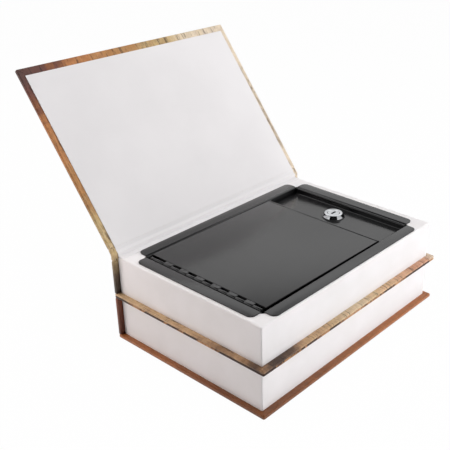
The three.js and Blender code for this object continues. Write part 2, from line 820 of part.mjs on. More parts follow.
function addPlug() {
  const face = headTop - plugRecess;
  const shank = shankAcross / 2;
  let plug = cylinderSolid(0, 0, plugRadius, barrelEnd, face, roundSteps);
  plug = plug.add(boxSolid(-shank, shank, -shank, shank, camFloor + camGap, barrelEnd + sheet));
  for (let i = 0; i < waferCount; i += 1) {
    const z = waferHeight(i);
    const half = waferThick / 2 + waferFit;
    const wide = waferWide / 2 + waferFit;
    plug = plug.subtract(boxSolid(-wide, wide, -headRadius, headRadius, z - half, z + half));
    plug = plug.subtract(boxSolid(0, chamber.x1, chamber.y0, chamber.y1, z - half, z + half));
  }
  const keyFloor = waferHeight(waferCount - 1) - waferThick;
  const keyWide = keywayWide / 2;
  const keyLong = keywayLong / 2;
  plug = plug.subtract(boxSolid(-keyWide, keyWide, -keyLong, keyLong, keyFloor, face + sheet));
  const tapped = cylinderSolid(
    0, 0, screwRadius + waferFit, camFloor - sheet, camFloor + screwDepth, 4,
  );
  addMesh(lock, 'lock_plug', toGeometry(plug.subtract(tapped)), chrome());
}

// The cam points to the spine when unlocked and swings to the tail to lock
function addCam() {
  const shape = new THREE.Shape();
  const half = camWide / 2;
  shape.moveTo(0, half);
  shape.lineTo(-camReach + camCorner, half);
  shape.absarc(-camReach + camCorner, half - camCorner, camCorner, Math.PI / 2, Math.PI, false);
  shape.lineTo(-camReach, -half + camCorner);
  shape.absarc(-camReach + camCorner, -half + camCorner, camCorner, Math.PI, 1.5 * Math.PI, false);
  shape.lineTo(0, -half);
  shape.absarc(0, 0, half, -Math.PI / 2, Math.PI / 2, false);
  const hole = shankAcross / 2 + plugFit;
  shape.holes.push(rectangleShape(-hole, hole, -hole, hole));
  addMesh(lock, 'lock_cam', raised(shape, camFloor, camTop, 5), plainSteel());

  const headFloor = camFloor - screwHeadThick;
  const profile = [
    [0, headFloor],
    [screwHead * 0.7, headFloor],
    [screwHead, headFloor + screwHeadThick / 2],
    [screwHead, camFloor],
    [screwRadius, camFloor],
    [screwRadius, camFloor + screwDepth - camGap],
    [0, camFloor + screwDepth - camGap],
  ];
  const screw = toSolid(turned(profile, 16));
  const slot = 0.5 * screwRadius;
  const cross = boxSolid(-2 * slot, 2 * slot, -slot / 2, slot / 2, headFloor - sheet, headFloor + slot)
    .add(boxSolid(-slot / 2, slot / 2, -2 * slot, 2 * slot, headFloor - sheet, headFloor + slot));
  addMesh(lock, 'cam_screw', toGeometry(screw.subtract(cross)), plainSteel());
}

addCases();
addBlock('lower', lowerBlockFloor, lowerBlockTop);
addBlock('upper', upperBlockFloor, blockTop);
addCover();
addJoint();
addLockBox();
addHinge();
addLid();
addStrike();
addHousing();
addLockTrim();
for (let i = 0; i < waferCount; i += 1) {
  addWafer(i);
  addWaferSpring(i);
}
addPlug();
addCam();

export default part;
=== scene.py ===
# %% [markdown]
# # A book safe, dressed for its portrait
# Two hardback books are glued into one stack, and a folded steel box with a locked lid stands
# inside them. The upper front cover is open and the lid is shut.
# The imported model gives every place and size. This script puts finer surfaces and real finishes
# on it: each new piece is worked out with numpy from the frame's own boxes, in millimetres, and
# turned to metres when it becomes a mesh.

# %% Load the frame
import json
import math

import bpy
import numpy as np
from mathutils import Matrix, Vector


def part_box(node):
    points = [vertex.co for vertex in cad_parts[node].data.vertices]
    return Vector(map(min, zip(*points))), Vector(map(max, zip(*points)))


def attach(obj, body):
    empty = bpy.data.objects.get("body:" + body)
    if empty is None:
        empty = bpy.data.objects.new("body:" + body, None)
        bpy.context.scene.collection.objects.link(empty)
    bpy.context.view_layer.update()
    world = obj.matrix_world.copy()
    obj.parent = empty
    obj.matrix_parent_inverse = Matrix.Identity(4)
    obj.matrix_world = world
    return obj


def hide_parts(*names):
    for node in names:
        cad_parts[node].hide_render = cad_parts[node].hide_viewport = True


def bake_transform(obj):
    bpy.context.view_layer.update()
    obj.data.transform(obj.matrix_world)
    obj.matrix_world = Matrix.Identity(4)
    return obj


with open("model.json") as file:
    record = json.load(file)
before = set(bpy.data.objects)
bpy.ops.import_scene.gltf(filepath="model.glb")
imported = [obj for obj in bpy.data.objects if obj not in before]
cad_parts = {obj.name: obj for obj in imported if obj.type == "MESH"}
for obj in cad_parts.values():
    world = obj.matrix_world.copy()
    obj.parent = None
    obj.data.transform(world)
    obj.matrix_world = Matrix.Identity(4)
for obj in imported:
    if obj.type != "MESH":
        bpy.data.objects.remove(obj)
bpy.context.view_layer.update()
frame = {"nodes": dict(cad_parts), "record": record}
MM = 0.001

# %% [markdown]
# ## Places that several pieces share
# The boxes of the CAD nodes give the plan of the books, the blocks and the steel box. The front
# cover is described in its own frame: p runs from the spine to the fore-edge, q from head to tail
# and h outward, and the cover's joint in the record gives its pivot and its opening.

# %% Read the places from the frame


def span(node):
    """Lowest and highest corner of a CAD node in millimetres, as one array."""
    return np.array([list(corner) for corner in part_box(node)]) / MM


def plan_of(corners):
    """The plan (p0, p1, q0, q1) of a lowest and a highest corner."""
    low, high = corners
    return (low[0], high[0], low[1], high[1])


def from_below(plan):
    """A plan with p turned over, for a board that is drawn from its underside."""
    return (-plan[1], -plan[0], plan[2], plan[3])


def axes(origin, along, across):
    """A piece's frame: an origin and the rows p, q and h, where h is p turned onto q."""
    return np.array(origin, float), np.array([along, across, np.cross(along, across)], float)


def placed(points, place):
    """Local points (p, q, h) become origin + p times the first row + q times the second + h
    times the third."""
    origin, rows = place
    return np.asarray(points, float) @ rows + origin


def joint_entry(name):
    """What the record says of a joint."""
    return next(j for j in frame["record"]["behaviour"]["joints"] if j["name"] == name)


cover_joint = joint_entry("cover_hinge")
pivot = np.array(cover_joint["pos_m"]) / MM
opened = math.radians(-cover_joint["range_deg"][0])
cover_place = axes(pivot, (math.cos(opened), 0, math.sin(opened)), (0, 1, 0))


def cover_span(node):
    """Lowest and highest corner of a CAD node in the front cover's own frame."""
    mesh = frame["nodes"][node].data
    points = np.empty(3 * len(mesh.vertices), np.float32)
    mesh.vertices.foreach_get("co", points)
    local = (points.reshape(-1, 3) / MM - cover_place[0]) @ cover_place[1].T
    return np.array([local.min(0), local.max(0)])


cover = cover_span("upper_front_cover")
lining = cover_span("cover_pastedown")
flat_place = axes((0, 0, 0), (1, 0, 0), (0, 1, 0))
under_place = axes((0, 0, 0), (-1, 0, 0), (0, 1, 0))
spine_place = axes((0, 0, 0), (0, 0, 1), (0, 1, 0))
print("cover, in its own frame:", cover.round(2).tolist())

# %% [markdown]
# ## The camera
# The photograph is a crop of a wider picture: its centre of view lies right of the middle. The
# lens and the shift were worked out from the corners of the books, so that the straight edges
# keep the photograph's own convergence.

# %% Place the camera
PHOTO_WIDE = 450
FOCAL_PIXELS = 795.0
CENTRE_OF_VIEW = (304.6, 232.6)
SENSOR = 36.0
CAMERA_AT = (0.40581, -0.47089, 0.40053)
CAMERA_RIGHT = (0.77223836, 0.63512539, 0.01623763)
CAMERA_UP = (-0.29788231, 0.33937916, 0.89223759)

camera = bpy.data.objects.new("camera", bpy.data.cameras.new("camera"))
bpy.context.scene.collection.objects.link(camera)
bpy.context.scene.camera = camera
camera.data.sensor_width = SENSOR
camera.data.lens = SENSOR * FOCAL_PIXELS / PHOTO_WIDE
camera.data.shift_x = (PHOTO_WIDE / 2 - CENTRE_OF_VIEW[0]) / PHOTO_WIDE
camera.data.shift_y = (CENTRE_OF_VIEW[1] - PHOTO_WIDE / 2) / PHOTO_WIDE
camera.location = CAMERA_AT
turn = np.stack([CAMERA_RIGHT, CAMERA_UP, np.cross(CAMERA_RIGHT, CAMERA_UP)], axis=1)
camera.rotation_mode = "QUATERNION"
camera.rotation_quaternion = Matrix(turn.tolist()).to_quaternion()
print("lens:", round(camera.data.lens, 2), "shift:", round(camera.data.shift_x, 4))

# %% [markdown]
# ## Light, floor and background
# The object was shot in a white tent. One soft lamp stands high on the fore-edge side and one over
# the spine side, a third lights the fore-edge from behind, and two warm ones graze the head from
# the spine's side, so both faces fall darker toward the near corner. The black steel shows mostly
# what it mirrors: the tent's white walls, which end 44 to 53 degrees above the floor. Over them and
# round the camera it is dark, and the bends that look up or back at the camera mirror that. The
# floor is matt white, and for the camera it glows.

# %% Make a small helper for shader nodes


def add(tree, kind, inputs=None, stops=None, **settings):
    """One node with its settings. An input takes a number, a colour, another node's output, or a
    node, which stands for its first output. A stop is a position with a hex or linear colour."""
    made = tree.nodes.new(kind)
    for name, value in settings.items():
        setattr(made, name, value)
    for name, value in (inputs or {}).items():
        if isinstance(value, bpy.types.Node):
            value = value.outputs[0]
        if isinstance(value, bpy.types.NodeSocket):
            tree.links.new(value, made.inputs[name])
        else:
            made.inputs[name].default_value = value
    for i, (position, color) in enumerate(stops or []):
        elements = made.color_ramp.elements
        element = elements[i] if i < len(elements) else elements.new(position)
        element.position = position
        element.color = linear(color) if isinstance(color, str) else color
    return made


def linear(code):
    """An sRGB hex colour as linear RGBA: each channel to the power of 2.4 above its straight toe."""
    channels = np.array([int(code[i:i + 2], 16) for i in (1, 3, 5)]) / 255
    toe = channels / 12.92
    curve = ((channels + 0.055) / 1.055) ** 2.4
    return (*np.where(channels <= 0.04045, toe, curve).tolist(), 1.0)


# %% Light the scene
WHITE = (1, 1, 1, 1)
FILL_STRENGTH = 0.1
TENT_EXTRA = 0.55
# The grey of the tent by the height of the direction: the floor, the walls, the dark over them.
TENT_GREYS = ((0.0, 0.5), (0.38, 0.55), (0.56, 1.0), (0.69, 1.0), (0.8, 0.03))
WARM = "#fff4ee"

scene = bpy.context.scene
scene.view_settings.view_transform = "Standard"
world = bpy.data.worlds.new("studio")
scene.world = world
world.use_nodes = True
tree = world.node_tree
tree.nodes.clear()
rays = add(tree, "ShaderNodeLightPath").outputs
seen = add(tree, "ShaderNodeMath", {0: rays["Is Camera Ray"], 1: rays["Is Glossy Ray"]},
           operation="MAXIMUM")
seen = add(tree, "ShaderNodeMath", {0: seen, 1: rays["Is Transmission Ray"]}, operation="MAXIMUM")
fill = add(tree, "ShaderNodeBackground", {"Color": WHITE, "Strength": FILL_STRENGTH})
toward = add(tree, "ShaderNodeSeparateXYZ", {0: add(tree, "ShaderNodeTexCoord").outputs["Generated"]})
tent = add(tree, "ShaderNodeValToRGB", {0: toward.outputs["Z"]},
           stops=[(height, (grey, grey, grey, 1)) for height, grey in TENT_GREYS])
mirrored = add(tree, "ShaderNodeMix", {0: rays["Is Glossy Ray"], 6: WHITE, 7: tent}, data_type="RGBA")
bright = add(tree, "ShaderNodeMath", {0: rays["Is Glossy Ray"], 1: TENT_EXTRA, 2: 1.0},
             operation="MULTIPLY_ADD")
white = add(tree, "ShaderNodeBackground", {"Color": mirrored.outputs[2], "Strength": bright})
mixed = add(tree, "ShaderNodeMixShader", {0: seen, 1: fill, 2: white})
add(tree, "ShaderNodeOutputWorld", {"Surface": mixed})


def lamp(name, location, target, size, watts, color="#ffffff"):
    """A square area lamp at a point, facing another point. Steel mirrors the tent, not the lamp."""
    data = bpy.data.lights.new(name, "AREA")
    data.shape = "SQUARE"
    data.size = size
    data.energy = watts
    data.color = linear(color)[:3]
    made = bpy.data.objects.new(name, data)
    scene.collection.objects.link(made)
    made.location = location
    made.rotation_mode = "QUATERNION"
    made.rotation_quaternion = (Vector(location) - Vector(target)).to_track_quat("Z", "Y")
    made.visible_glossy = False


# Name, place, target, size in metres, watts and colour.
lamp("high_right", (1.5, 0.1, 1.3), (0, 0, 0.06), 1.2, 11.3)
lamp("overhead", (-0.50, -0.05, 1.8), (0, 0, 0.06), 1.2, 15.4)
lamp("back_right", (0.80, 0.70, 0.40), (0.08, 0.06, 0.05), 0.7, 8)
lamp("near_left", (-0.42, -0.48, 0.25), (-0.08, -0.12, 0.04), 0.3, 1.5, WARM)
lamp("front_left", (-0.50, -0.85, 0.28), (-0.04, -0.12, 0.04), 0.6, 0.4, WARM)

# %% Add the floor and the dark opening
SQUARE = np.array([(-1, -1, 0), (1, -1, 0), (1, 1, 0), (-1, 1, 0)])
FLOOR_HALF = 6.0
FLOOR_PALE = (0.86, 0.86, 0.87, 1)
FLOOR_GLOW = 0.98
OPENING_AT = np.array([0.60, -0.70, 0.46])
OPENING_HALF = (0.85, 0.36)
OPENING_DARK = (0.01, 0.01, 0.01, 1)


def stage_plane(name, corners):
    """A flat piece of the studio: kept out of the object, and given its own material tree."""
    mesh = bpy.data.meshes.new(name)
    mesh.from_pydata([tuple(map(float, corner)) for corner in corners], [], [(0, 1, 2, 3)])
    made = bpy.data.objects.new(name, mesh)
    scene.collection.objects.link(made)
    paint = bpy.data.materials.new(name)
    paint.use_nodes = True
    paint.node_tree.nodes.clear()
    mesh.materials.append(paint)
    return made, paint.node_tree


floor, tree = stage_plane("white_sweep", FLOOR_HALF * SQUARE)
rays = add(tree, "ShaderNodeLightPath").outputs
seen = add(tree, "ShaderNodeMath", {0: rays["Is Camera Ray"], 1: rays["Is Glossy Ray"]},
           operation="MAXIMUM")
matt = add(tree, "ShaderNodeBsdfDiffuse", {"Color": FLOOR_PALE})
glow = add(tree, "ShaderNodeEmission", {"Color": WHITE, "Strength": 1.0})
share = add(tree, "ShaderNodeMath", {0: seen, 1: FLOOR_GLOW}, operation="MULTIPLY")
mixed = add(tree, "ShaderNodeMixShader", {0: share, 1: matt, 2: glow})
add(tree, "ShaderNodeOutputMaterial", {"Surface": mixed})

facing = OPENING_AT / np.linalg.norm(OPENING_AT)
level = np.cross((0, 0, 1), facing) / np.linalg.norm(np.cross((0, 0, 1), facing))
rise = np.cross(facing, level)
opening, tree = stage_plane("dark_opening", OPENING_AT + SQUARE @ np.array(
    [level * OPENING_HALF[0], rise * OPENING_HALF[1], facing]))
matt = add(tree, "ShaderNodeBsdfDiffuse", {"Color": OPENING_DARK})
add(tree, "ShaderNodeOutputMaterial", {"Surface": matt})
opening.visible_camera = False
print("stage:", floor.name, opening.name)

# %% [markdown]
# ## Printed paper over board
# The cases are grey board wrapped in offset-printed paper with a satin film. The print is aged
# parchment: tan and cream, stained brown towards one corner. The film gives a soft sheen, and the
# board's surface shows through as a slight orange peel. The pattern lies on the sheet before it
# is folded: each piece carries a map named case_sheet, in metres along and across the case, so
# stains run round the edges onto the turn-ins as they do on a folded sheet.

# %% Start a material
PRINT_MAP = "case_sheet"


def new_material(name, **values):
    """A material with one principled shader. Values that are the same all over go on its own sockets."""
    material = bpy.data.materials.new(name)
    material.use_nodes = True
    tree = material.node_tree
    tree.nodes.clear()
    shader = add(tree, "ShaderNodeBsdfPrincipled", values)
    add(tree, "ShaderNodeOutputMaterial", {"Surface": shader.outputs[0]})
    return material, tree, shader


def per_mm(size):
    """The noise scale whose blobs are about this many millimetres across, for coordinates in metres."""
    return 1 / (size * MM)


def bumped(tree, shader, height, depth_mm):
    """A bump whose full height is so many millimetres."""
    made = add(tree, "ShaderNodeBump", {"Height": height, "Strength": 1.0, "Distance": depth_mm * MM})
    tree.links.new(made.outputs[0], shader.inputs["Normal"])


# %% Define the printed paper
# Sizes in millimetres: broad clouds, fine mottles and the width of a stroke, which is divided by
# STROKE_SQUEEZE for its length; the rule's inset, and its two lines as a gap from the inset and
# half a width.
CLOUD, MOTTLE, STROKE, STROKE_SQUEEZE = 26, 5, 5, 0.12
RULE_INSET = 7
RULE_LINES = ((0, 0.7), (2.4, 0.25))
MOTTLE_SHARE, INK_SHARE = 0.55, 0.75
ORANGE_PEEL = 0.03


def inside_by(tree, sheet, low_u, high_u, low_v, high_v):
    """How far a point of the sheet lies inside a rectangle: along and across, half the length less
    the distance from the middle, and the lesser of the two."""
    parts = add(tree, "ShaderNodeSeparateXYZ", {0: sheet})
    left = []
    for part, low, high in ((parts.outputs[0], low_u, high_u), (parts.outputs[1], low_v, high_v)):
        off = add(tree, "ShaderNodeMath", {0: part, 1: (low + high) / 2}, operation="SUBTRACT")
        size = add(tree, "ShaderNodeMath", {0: off}, operation="ABSOLUTE")
        left.append(add(tree, "ShaderNodeMath", {0: (high - low) / 2, 1: size}, operation="SUBTRACT"))
    return add(tree, "ShaderNodeMath", {0: left[0], 1: left[1]}, operation="MINIMUM")


def printed_case(name, stops, corner=(0, 0, 0), squeeze=(0, 0, 0), stain=0.35, rule=None, ticks=False):
    """Parchment print: the sheet's distance from one corner, squeezed in each direction and
    stirred by broad noise, picks a colour from the stops. Finer noise darkens it in mottles, and
    ticks are short dark strokes, like the worn leaves of an old binding. A rule is a rectangle:
    two fine lines are drawn inside it, and the ticks keep to the margin outside them."""
    material, tree, shader = new_material(name, Roughness=0.42, IOR=1.5)
    sheet = add(tree, "ShaderNodeUVMap", uv_map=PRINT_MAP)
    off = add(tree, "ShaderNodeVectorMath", {0: sheet, 1: corner}, operation="SUBTRACT")
    scaled = add(tree, "ShaderNodeVectorMath", {0: off, 1: squeeze}, operation="MULTIPLY")
    away = add(tree, "ShaderNodeVectorMath", {0: scaled}, operation="LENGTH")
    clouds = add(tree, "ShaderNodeTexNoise",
                 {"Vector": sheet, "Scale": per_mm(CLOUD), "Detail": 5.0, "Roughness": 0.62,
                  "Distortion": 0.6})
    stirred = add(tree, "ShaderNodeMath", {0: clouds, 1: stain, 2: -0.5 * stain}, operation="MULTIPLY_ADD")
    where = add(tree, "ShaderNodeMath", {0: away.outputs["Value"], 1: stirred}, operation="ADD")
    tone = add(tree, "ShaderNodeValToRGB", {0: where}, stops=stops)
    mottle = add(tree, "ShaderNodeTexNoise",
                 {"Vector": sheet, "Scale": per_mm(MOTTLE), "Detail": 8.0, "Roughness": 0.78})
    depth = add(tree, "ShaderNodeValToRGB", {0: mottle}, stops=[(0.3, "#9a8674"), (0.62, "#ffffff")])
    color = add(tree, "ShaderNodeMix", {0: MOTTLE_SHARE, 6: tone, 7: depth},
                data_type="RGBA", blend_type="MULTIPLY")
    edge = inside_by(tree, sheet, *rule) if rule else None
    if ticks:
        inked = INK_SHARE
        if rule:
            margin = add(tree, "ShaderNodeMath", {0: edge, 1: RULE_INSET * MM}, operation="LESS_THAN")
            inked = add(tree, "ShaderNodeMath", {0: margin, 1: INK_SHARE}, operation="MULTIPLY")
        cells = add(tree, "ShaderNodeMapping", {"Vector": sheet, "Scale": (STROKE_SQUEEZE, 1, 1)})
        strokes = add(tree, "ShaderNodeTexNoise",
                      {"Vector": cells, "Scale": per_mm(STROKE), "Detail": 4.0, "Roughness": 0.85})
        ink = add(tree, "ShaderNodeValToRGB", {0: strokes}, stops=[(0.4, "#4f331c"), (0.47, "#ffffff")])
        color = add(tree, "ShaderNodeMix", {0: inked, 6: color.outputs[2], 7: ink},
                    data_type="RGBA", blend_type="MULTIPLY")
    for gap, half in RULE_LINES if rule else ():
        off = add(tree, "ShaderNodeMath", {0: edge, 1: (RULE_INSET + gap) * MM}, operation="SUBTRACT")
        size = add(tree, "ShaderNodeMath", {0: off}, operation="ABSOLUTE")
        line = add(tree, "ShaderNodeMath", {0: size, 1: half * MM}, operation="LESS_THAN")
        color = add(tree, "ShaderNodeMix", {0: line, 6: color.outputs[2], 7: linear("#4a2c1b")},
                    data_type="RGBA")
    tree.links.new(color.outputs[2], shader.inputs["Base Color"])
    bumped(tree, shader, mottle, ORANGE_PEEL)
    return material


# %% Print the cases
COVER_LONG = cover[1][0] * MM
HALF_HIGH = cover[1][1] * MM
FORE_EDGE = 0.085
SPINE_FOOT = 0.040
DARK_CORNER_IN = 0.022
print("case height:", round(2 * HALF_HIGH, 4), "m")
cover_print = printed_case(
    "printed_paper_cover",
    [(0.0, "#5a403b"), (0.13, "#6e4238"), (0.19, "#8a5638"), (0.27, "#c08250"), (0.4, "#c48e5c"),
     (0.5, "#b9844e"), (0.6, "#bf9565"), (0.7, "#cdb07c"), (0.84, "#e2cba6"), (1.0, "#ead9c2")],
    corner=(COVER_LONG, -HALF_HIGH, 0), squeeze=(4.7, 4.8, 0), stain=0.5,
    rule=(0, COVER_LONG, -HALF_HIGH, HALF_HIGH), ticks=True,
)
upper_spine_print = printed_case(
    "printed_paper_upper_spine",
    [(0.0, "#3a2d24"), (0.25, "#4c3d30"), (0.5, "#6f5b45"), (0.75, "#a8926a"), (0.95, "#c9b485")],
    corner=(SPINE_FOOT, 0, 0), squeeze=(22, 0, 0),
)
# The upper book's back board grows dark towards the front corner: partly a brown stain of its print, partly
# painted shade round that corner.
middle_print_and_shade = printed_case(
    "printed_paper_middle_shaded",
    [(0.0, "#4a3427"), (0.06, "#6b4f3a"), (0.13, "#aa8460"), (0.2, "#d2ad84"), (0.32, "#d6b68c"),
     (0.45, "#e2cbaa"), (0.6, "#e2c196"), (0.75, "#deb08c"), (0.87, "#d79f7e"), (1.0, "#e8cfb6")],
    corner=(-FORE_EDGE, DARK_CORNER_IN - HALF_HIGH, 0), squeeze=(2, 4.6, 0), stain=0.45, ticks=True,
)
# Only the edge of the lower book's front board shows, in the seam under the upper book's back board: its dark
# browns are partly its own print and partly painted shade in that seam.
lower_front_print_and_shade = printed_case(
    "printed_paper_lower_front_shaded",
    [(0.0, "#3e220c"), (0.02, "#6e4220"), (0.06, "#b08050"), (0.16, "#d0a070")],
    stain=1.6, ticks=True,
)
lower_print = printed_case(
    "printed_paper_lower",
    [(0.0, "#824f2b"), (0.2, "#8c5531"), (0.45, "#aa6a3c"), (0.75, "#b6703f"), (1.0, "#ac683b")],
    corner=(-FORE_EDGE, -HALF_HIGH, 0), squeeze=(3.5, 3.4, 0), stain=0.4,
    rule=(-COVER_LONG / 2, COVER_LONG / 2, -HALF_HIGH, HALF_HIGH),
)
lower_spine_print = printed_case(
    "printed_paper_lower_spine",
    [(0.0, "#86482c"), (0.4, "#733a22"), (0.8, "#5a2a16")],
    corner=(SPINE_FOOT, 0, 0), squeeze=(20, 0, 0),
)

# %% [markdown]
# ## White paper, board and metals
# The page blocks and the linings are white offset paper: matt, slightly warm, with fibres too
# fine to see, so the pattern is drawn at half a millimetre. The steel is powder coated and baked
# smooth: nearly black, with a satin gloss that mirrors what stands round it, a little blurred. The
# lock head is polished chrome on zinc, a clear mirror. The wafers are stamped brass, the small
# parts are zinc-plated steel, dull and silvery, and the ring under the lock head is plain black.
# The bars in the blocks are fibreboard, brown and matt, with short fibres in view. All are made by
# one function, because they differ only in two close tones and in the size of their grain.

# %% Define the plain finishes
def noisy(tree, size):
    """Noise on the object's own coordinates, with blobs of a size in millimetres."""
    place = add(tree, "ShaderNodeTexCoord").outputs["Object"]
    return add(tree, "ShaderNodeTexNoise", {"Vector": place, "Scale": per_mm(size), "Detail": 3.0})


def two_tone(name, low, high, patch, grain, relief, **values):
    """A finish whose colour wanders between two close tones in patches, with a fine bump: the size
    of a patch, the size of a grain and the grain's height are in millimetres."""
    material, tree, shader = new_material(name, **values)
    tone = add(tree, "ShaderNodeValToRGB", {0: noisy(tree, patch)}, stops=[(0.35, low), (0.65, high)])
    tree.links.new(tone.outputs[0], shader.inputs["Base Color"])
    bumped(tree, shader, noisy(tree, grain), relief)
    return material


page_paper = two_tone("offset_paper_pages", "#f1eeee", "#f6f3f4", patch=30, grain=0.5, relief=0.012,
                      Roughness=0.85, IOR=1.45)
# Painted shade: the lining and the crease are the pages' own paper, drawn a little darker so the open cover's
# inside falls dimmer.
lining_paper_shaded = two_tone("offset_paper_lining_shaded", "#e9e6e7", "#edeaeb", patch=60, grain=0.5, relief=0.01,
                        Roughness=0.8, IOR=1.45)
powder_coat = two_tone("powder_coated_steel", "#1a1a1b", "#1e1e1f", patch=14, grain=0.35, relief=0.01,
                       Roughness=0.2, IOR=1.5)
zinc_plate = two_tone("zinc_plated_steel", "#a9acb0", "#c2c4c8", patch=1.5, grain=0.3, relief=0.006,
                      Metallic=1.0, Roughness=0.32)
polished_chrome = two_tone("polished_chrome", "#c0c2c5", "#cbcdcf", patch=4, grain=0.6, relief=0.002,
                           Metallic=1.0, Roughness=0.09)
stamped_brass = two_tone("stamped_brass", "#b9954d", "#cdab63", patch=2, grain=0.25, relief=0.006,
                         Metallic=1.0, Roughness=0.3)
# A plain black ring under the lock head, which shows as a thin dark outline round the head.
black_trim = two_tone("plain_black_ring", "#161616", "#1e1e1f", patch=3, grain=0.3, relief=0.01,
                      Roughness=0.5, IOR=1.53)
fibreboard = two_tone("fibreboard", "#9c8260", "#b99f7b", patch=0.8, grain=0.5, relief=0.08,
                      Roughness=0.9, IOR=1.45)
print("materials:", len(bpy.data.materials))

# %% [markdown]
# ## From arrays to meshes
# Every new piece is a grid of points, so a few helpers are enough. One numbers the faces of a
# grid, and one makes the object, with its map, its smooth shading and its body. The
# others draw rounded rectangles and stack them, which gives every form that is the same all round.

# %% Define the mesh helpers


def grid_faces(rows, columns, closed_rows=False, closed_columns=True):
    """Square faces of a grid whose points are numbered row by row. Seen from outside, each face
    runs down its row, then along its column, so it looks outward where rows go down."""
    row = np.arange(rows if closed_rows else rows - 1)[:, None]
    column = np.arange(columns if closed_columns else columns - 1)[None, :]
    below, beside = (row + 1) % rows, (column + 1) % columns
    corners = [row * columns + column, below * columns + column,
               below * columns + beside, row * columns + beside]
    return np.stack(np.broadcast_arrays(*corners), axis=-1).reshape(-1, 4)


def facing_out(points, faces):
    """The same faces, all turned over if the volume they enclose is negative."""
    corners = [(f[0], f[i], f[i + 1]) for f in faces for i in range(1, len(f) - 1)]
    a, b, c = (points[[t[k] for t in corners]] for k in range(3))
    return faces if np.einsum("ij,ij->", a, np.cross(b, c)) > 0 else [tuple(f)[::-1] for f in faces]


def make_piece(name, points, faces, material, slot, body=None, replaces=(), sheet=None, sharp=35):
    """An object from points in millimetres and faces. Sheet holds a map coordinate for each point."""
    mesh = bpy.data.meshes.new(name)
    points = np.asarray(points, float)
    faces = facing_out(points, faces)
    mesh.from_pydata((points * MM).tolist(), [], [list(map(int, f)) for f in faces])
    if sheet is not None:
        layer = mesh.uv_layers.new(name=PRINT_MAP)
        corner = np.empty(len(mesh.loops), np.int64)
        mesh.loops.foreach_get("vertex_index", corner)
        layer.data.foreach_set("uv", (np.asarray(sheet)[corner] * MM).astype(np.float32).ravel())
    mesh.shade_smooth()
    mesh.set_sharp_from_angle(angle=math.radians(sharp))
    mesh.materials.append(material)
    made = bpy.data.objects.new(name, mesh)
    scene.collection.objects.link(made)
    if body:
        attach(made, body)
    if replaces:
        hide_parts(*replaces)
    print(f"{name}: {len(mesh.vertices)} points, {len(mesh.polygons)} faces")
    return made


def outline(plan, radius, corner_steps=6, side_steps=2):
    """A rounded rectangle (p0, p1, q0, q1), counter-clockwise: at each corner an arc, then a
    straight run with points at equal shares. Returns the points and their outward directions."""
    p0, p1, q0, q1 = plan
    centres = np.array([[p1 - radius, q0 + radius], [p1 - radius, q1 - radius],
                        [p0 + radius, q1 - radius], [p0 + radius, q0 + radius]])
    angle = (np.arange(4)[:, None] - 1 + np.linspace(0, 1, corner_steps + 1)[None, :]) * math.pi / 2
    outward = np.stack([np.cos(angle), np.sin(angle)], axis=-1)
    arc = centres[:, None, :] + radius * outward
    share = np.linspace(0, 1, side_steps + 1)[1:-1]
    run = arc[:, -1:] + share[None, :, None] * (np.roll(arc, -1, axis=0)[:, :1] - arc[:, -1:])
    run_outward = np.repeat(outward[:, -1:], len(share), axis=1)
    points = np.concatenate([arc, run], axis=1).reshape(-1, 2)
    return points, np.concatenate([outward, run_outward], axis=1).reshape(-1, 2)


def shrunk(plan, by):
    """A plan rectangle moved inward on its four sides."""
    return (plan[0] + by, plan[1] - by, plan[2] + by, plan[3] - by)


def rounded(plan, corner, radius, level, steps, upward=False):
    """Levels of a quarter round between a flat face and the plan's sides: inside the plan by
    r - r sin t, and below the face (or above it) by r - r cos t."""
    way = 1 if upward else -1
    return [(shrunk(plan, radius * (1 - math.sin(t))), corner, level + way * radius * (1 - math.cos(t)))
            for t in np.linspace(0, math.pi / 2, steps + 1)]


def rings(levels, **steps):
    """Stacked outlines: each level is a plan, a corner radius and a height."""
    made = []
    for plan, radius, height in levels:
        flat = outline(plan, radius, **steps)[0]
        made.append(np.column_stack([flat, np.full(len(flat), float(height))]))
    return np.stack(made)


def skin(stack, capped=True):
    """Faces of stacked rings: squares between rings, and either caps on both ends or a closed loop."""
    rows, columns = stack.shape[:2]
    faces = list(grid_faces(rows, columns, closed_rows=not capped))
    if capped:
        faces.append(np.arange(columns))
        faces.append(np.arange(rows * columns - 1, (rows - 1) * columns - 1, -1))
    return faces


def travelled(path):
    """The distance along a path at each of its points."""
    return np.concatenate([[0], np.cumsum(np.hypot(*np.diff(path, axis=0).T))])


# %% [markdown]
# ## The wrapped boards of the cases
# A case board is cut square, wrapped in printed paper, and the paper is turned in over its edges
# and mitred at the corners. The wrap makes the edges slightly round. One function draws them all:
# rings of a rounded rectangle go from the outer face over the edge to the inner face, and thin
# mitred strips lie on the inner face as the turn-ins.

# %% Define a wrapped board
# Millimetres, apart from the steps. A thin board's edge is rounded by its thickness / THIN_BOARD.
EDGE_STEPS = 6
EDGE_ROUND = 0.8
THIN_BOARD = 2.6
CORNER_ROUND = 1.2
WINDOW_CUT = 0.3
FLAT_RIM = 0.35
PAPER = 0.16
MITRE_GAP = 0.12
OUTWARD = {"p0": (-1, 0), "p1": (1, 0), "q0": (0, -1), "q1": (0, 1)}


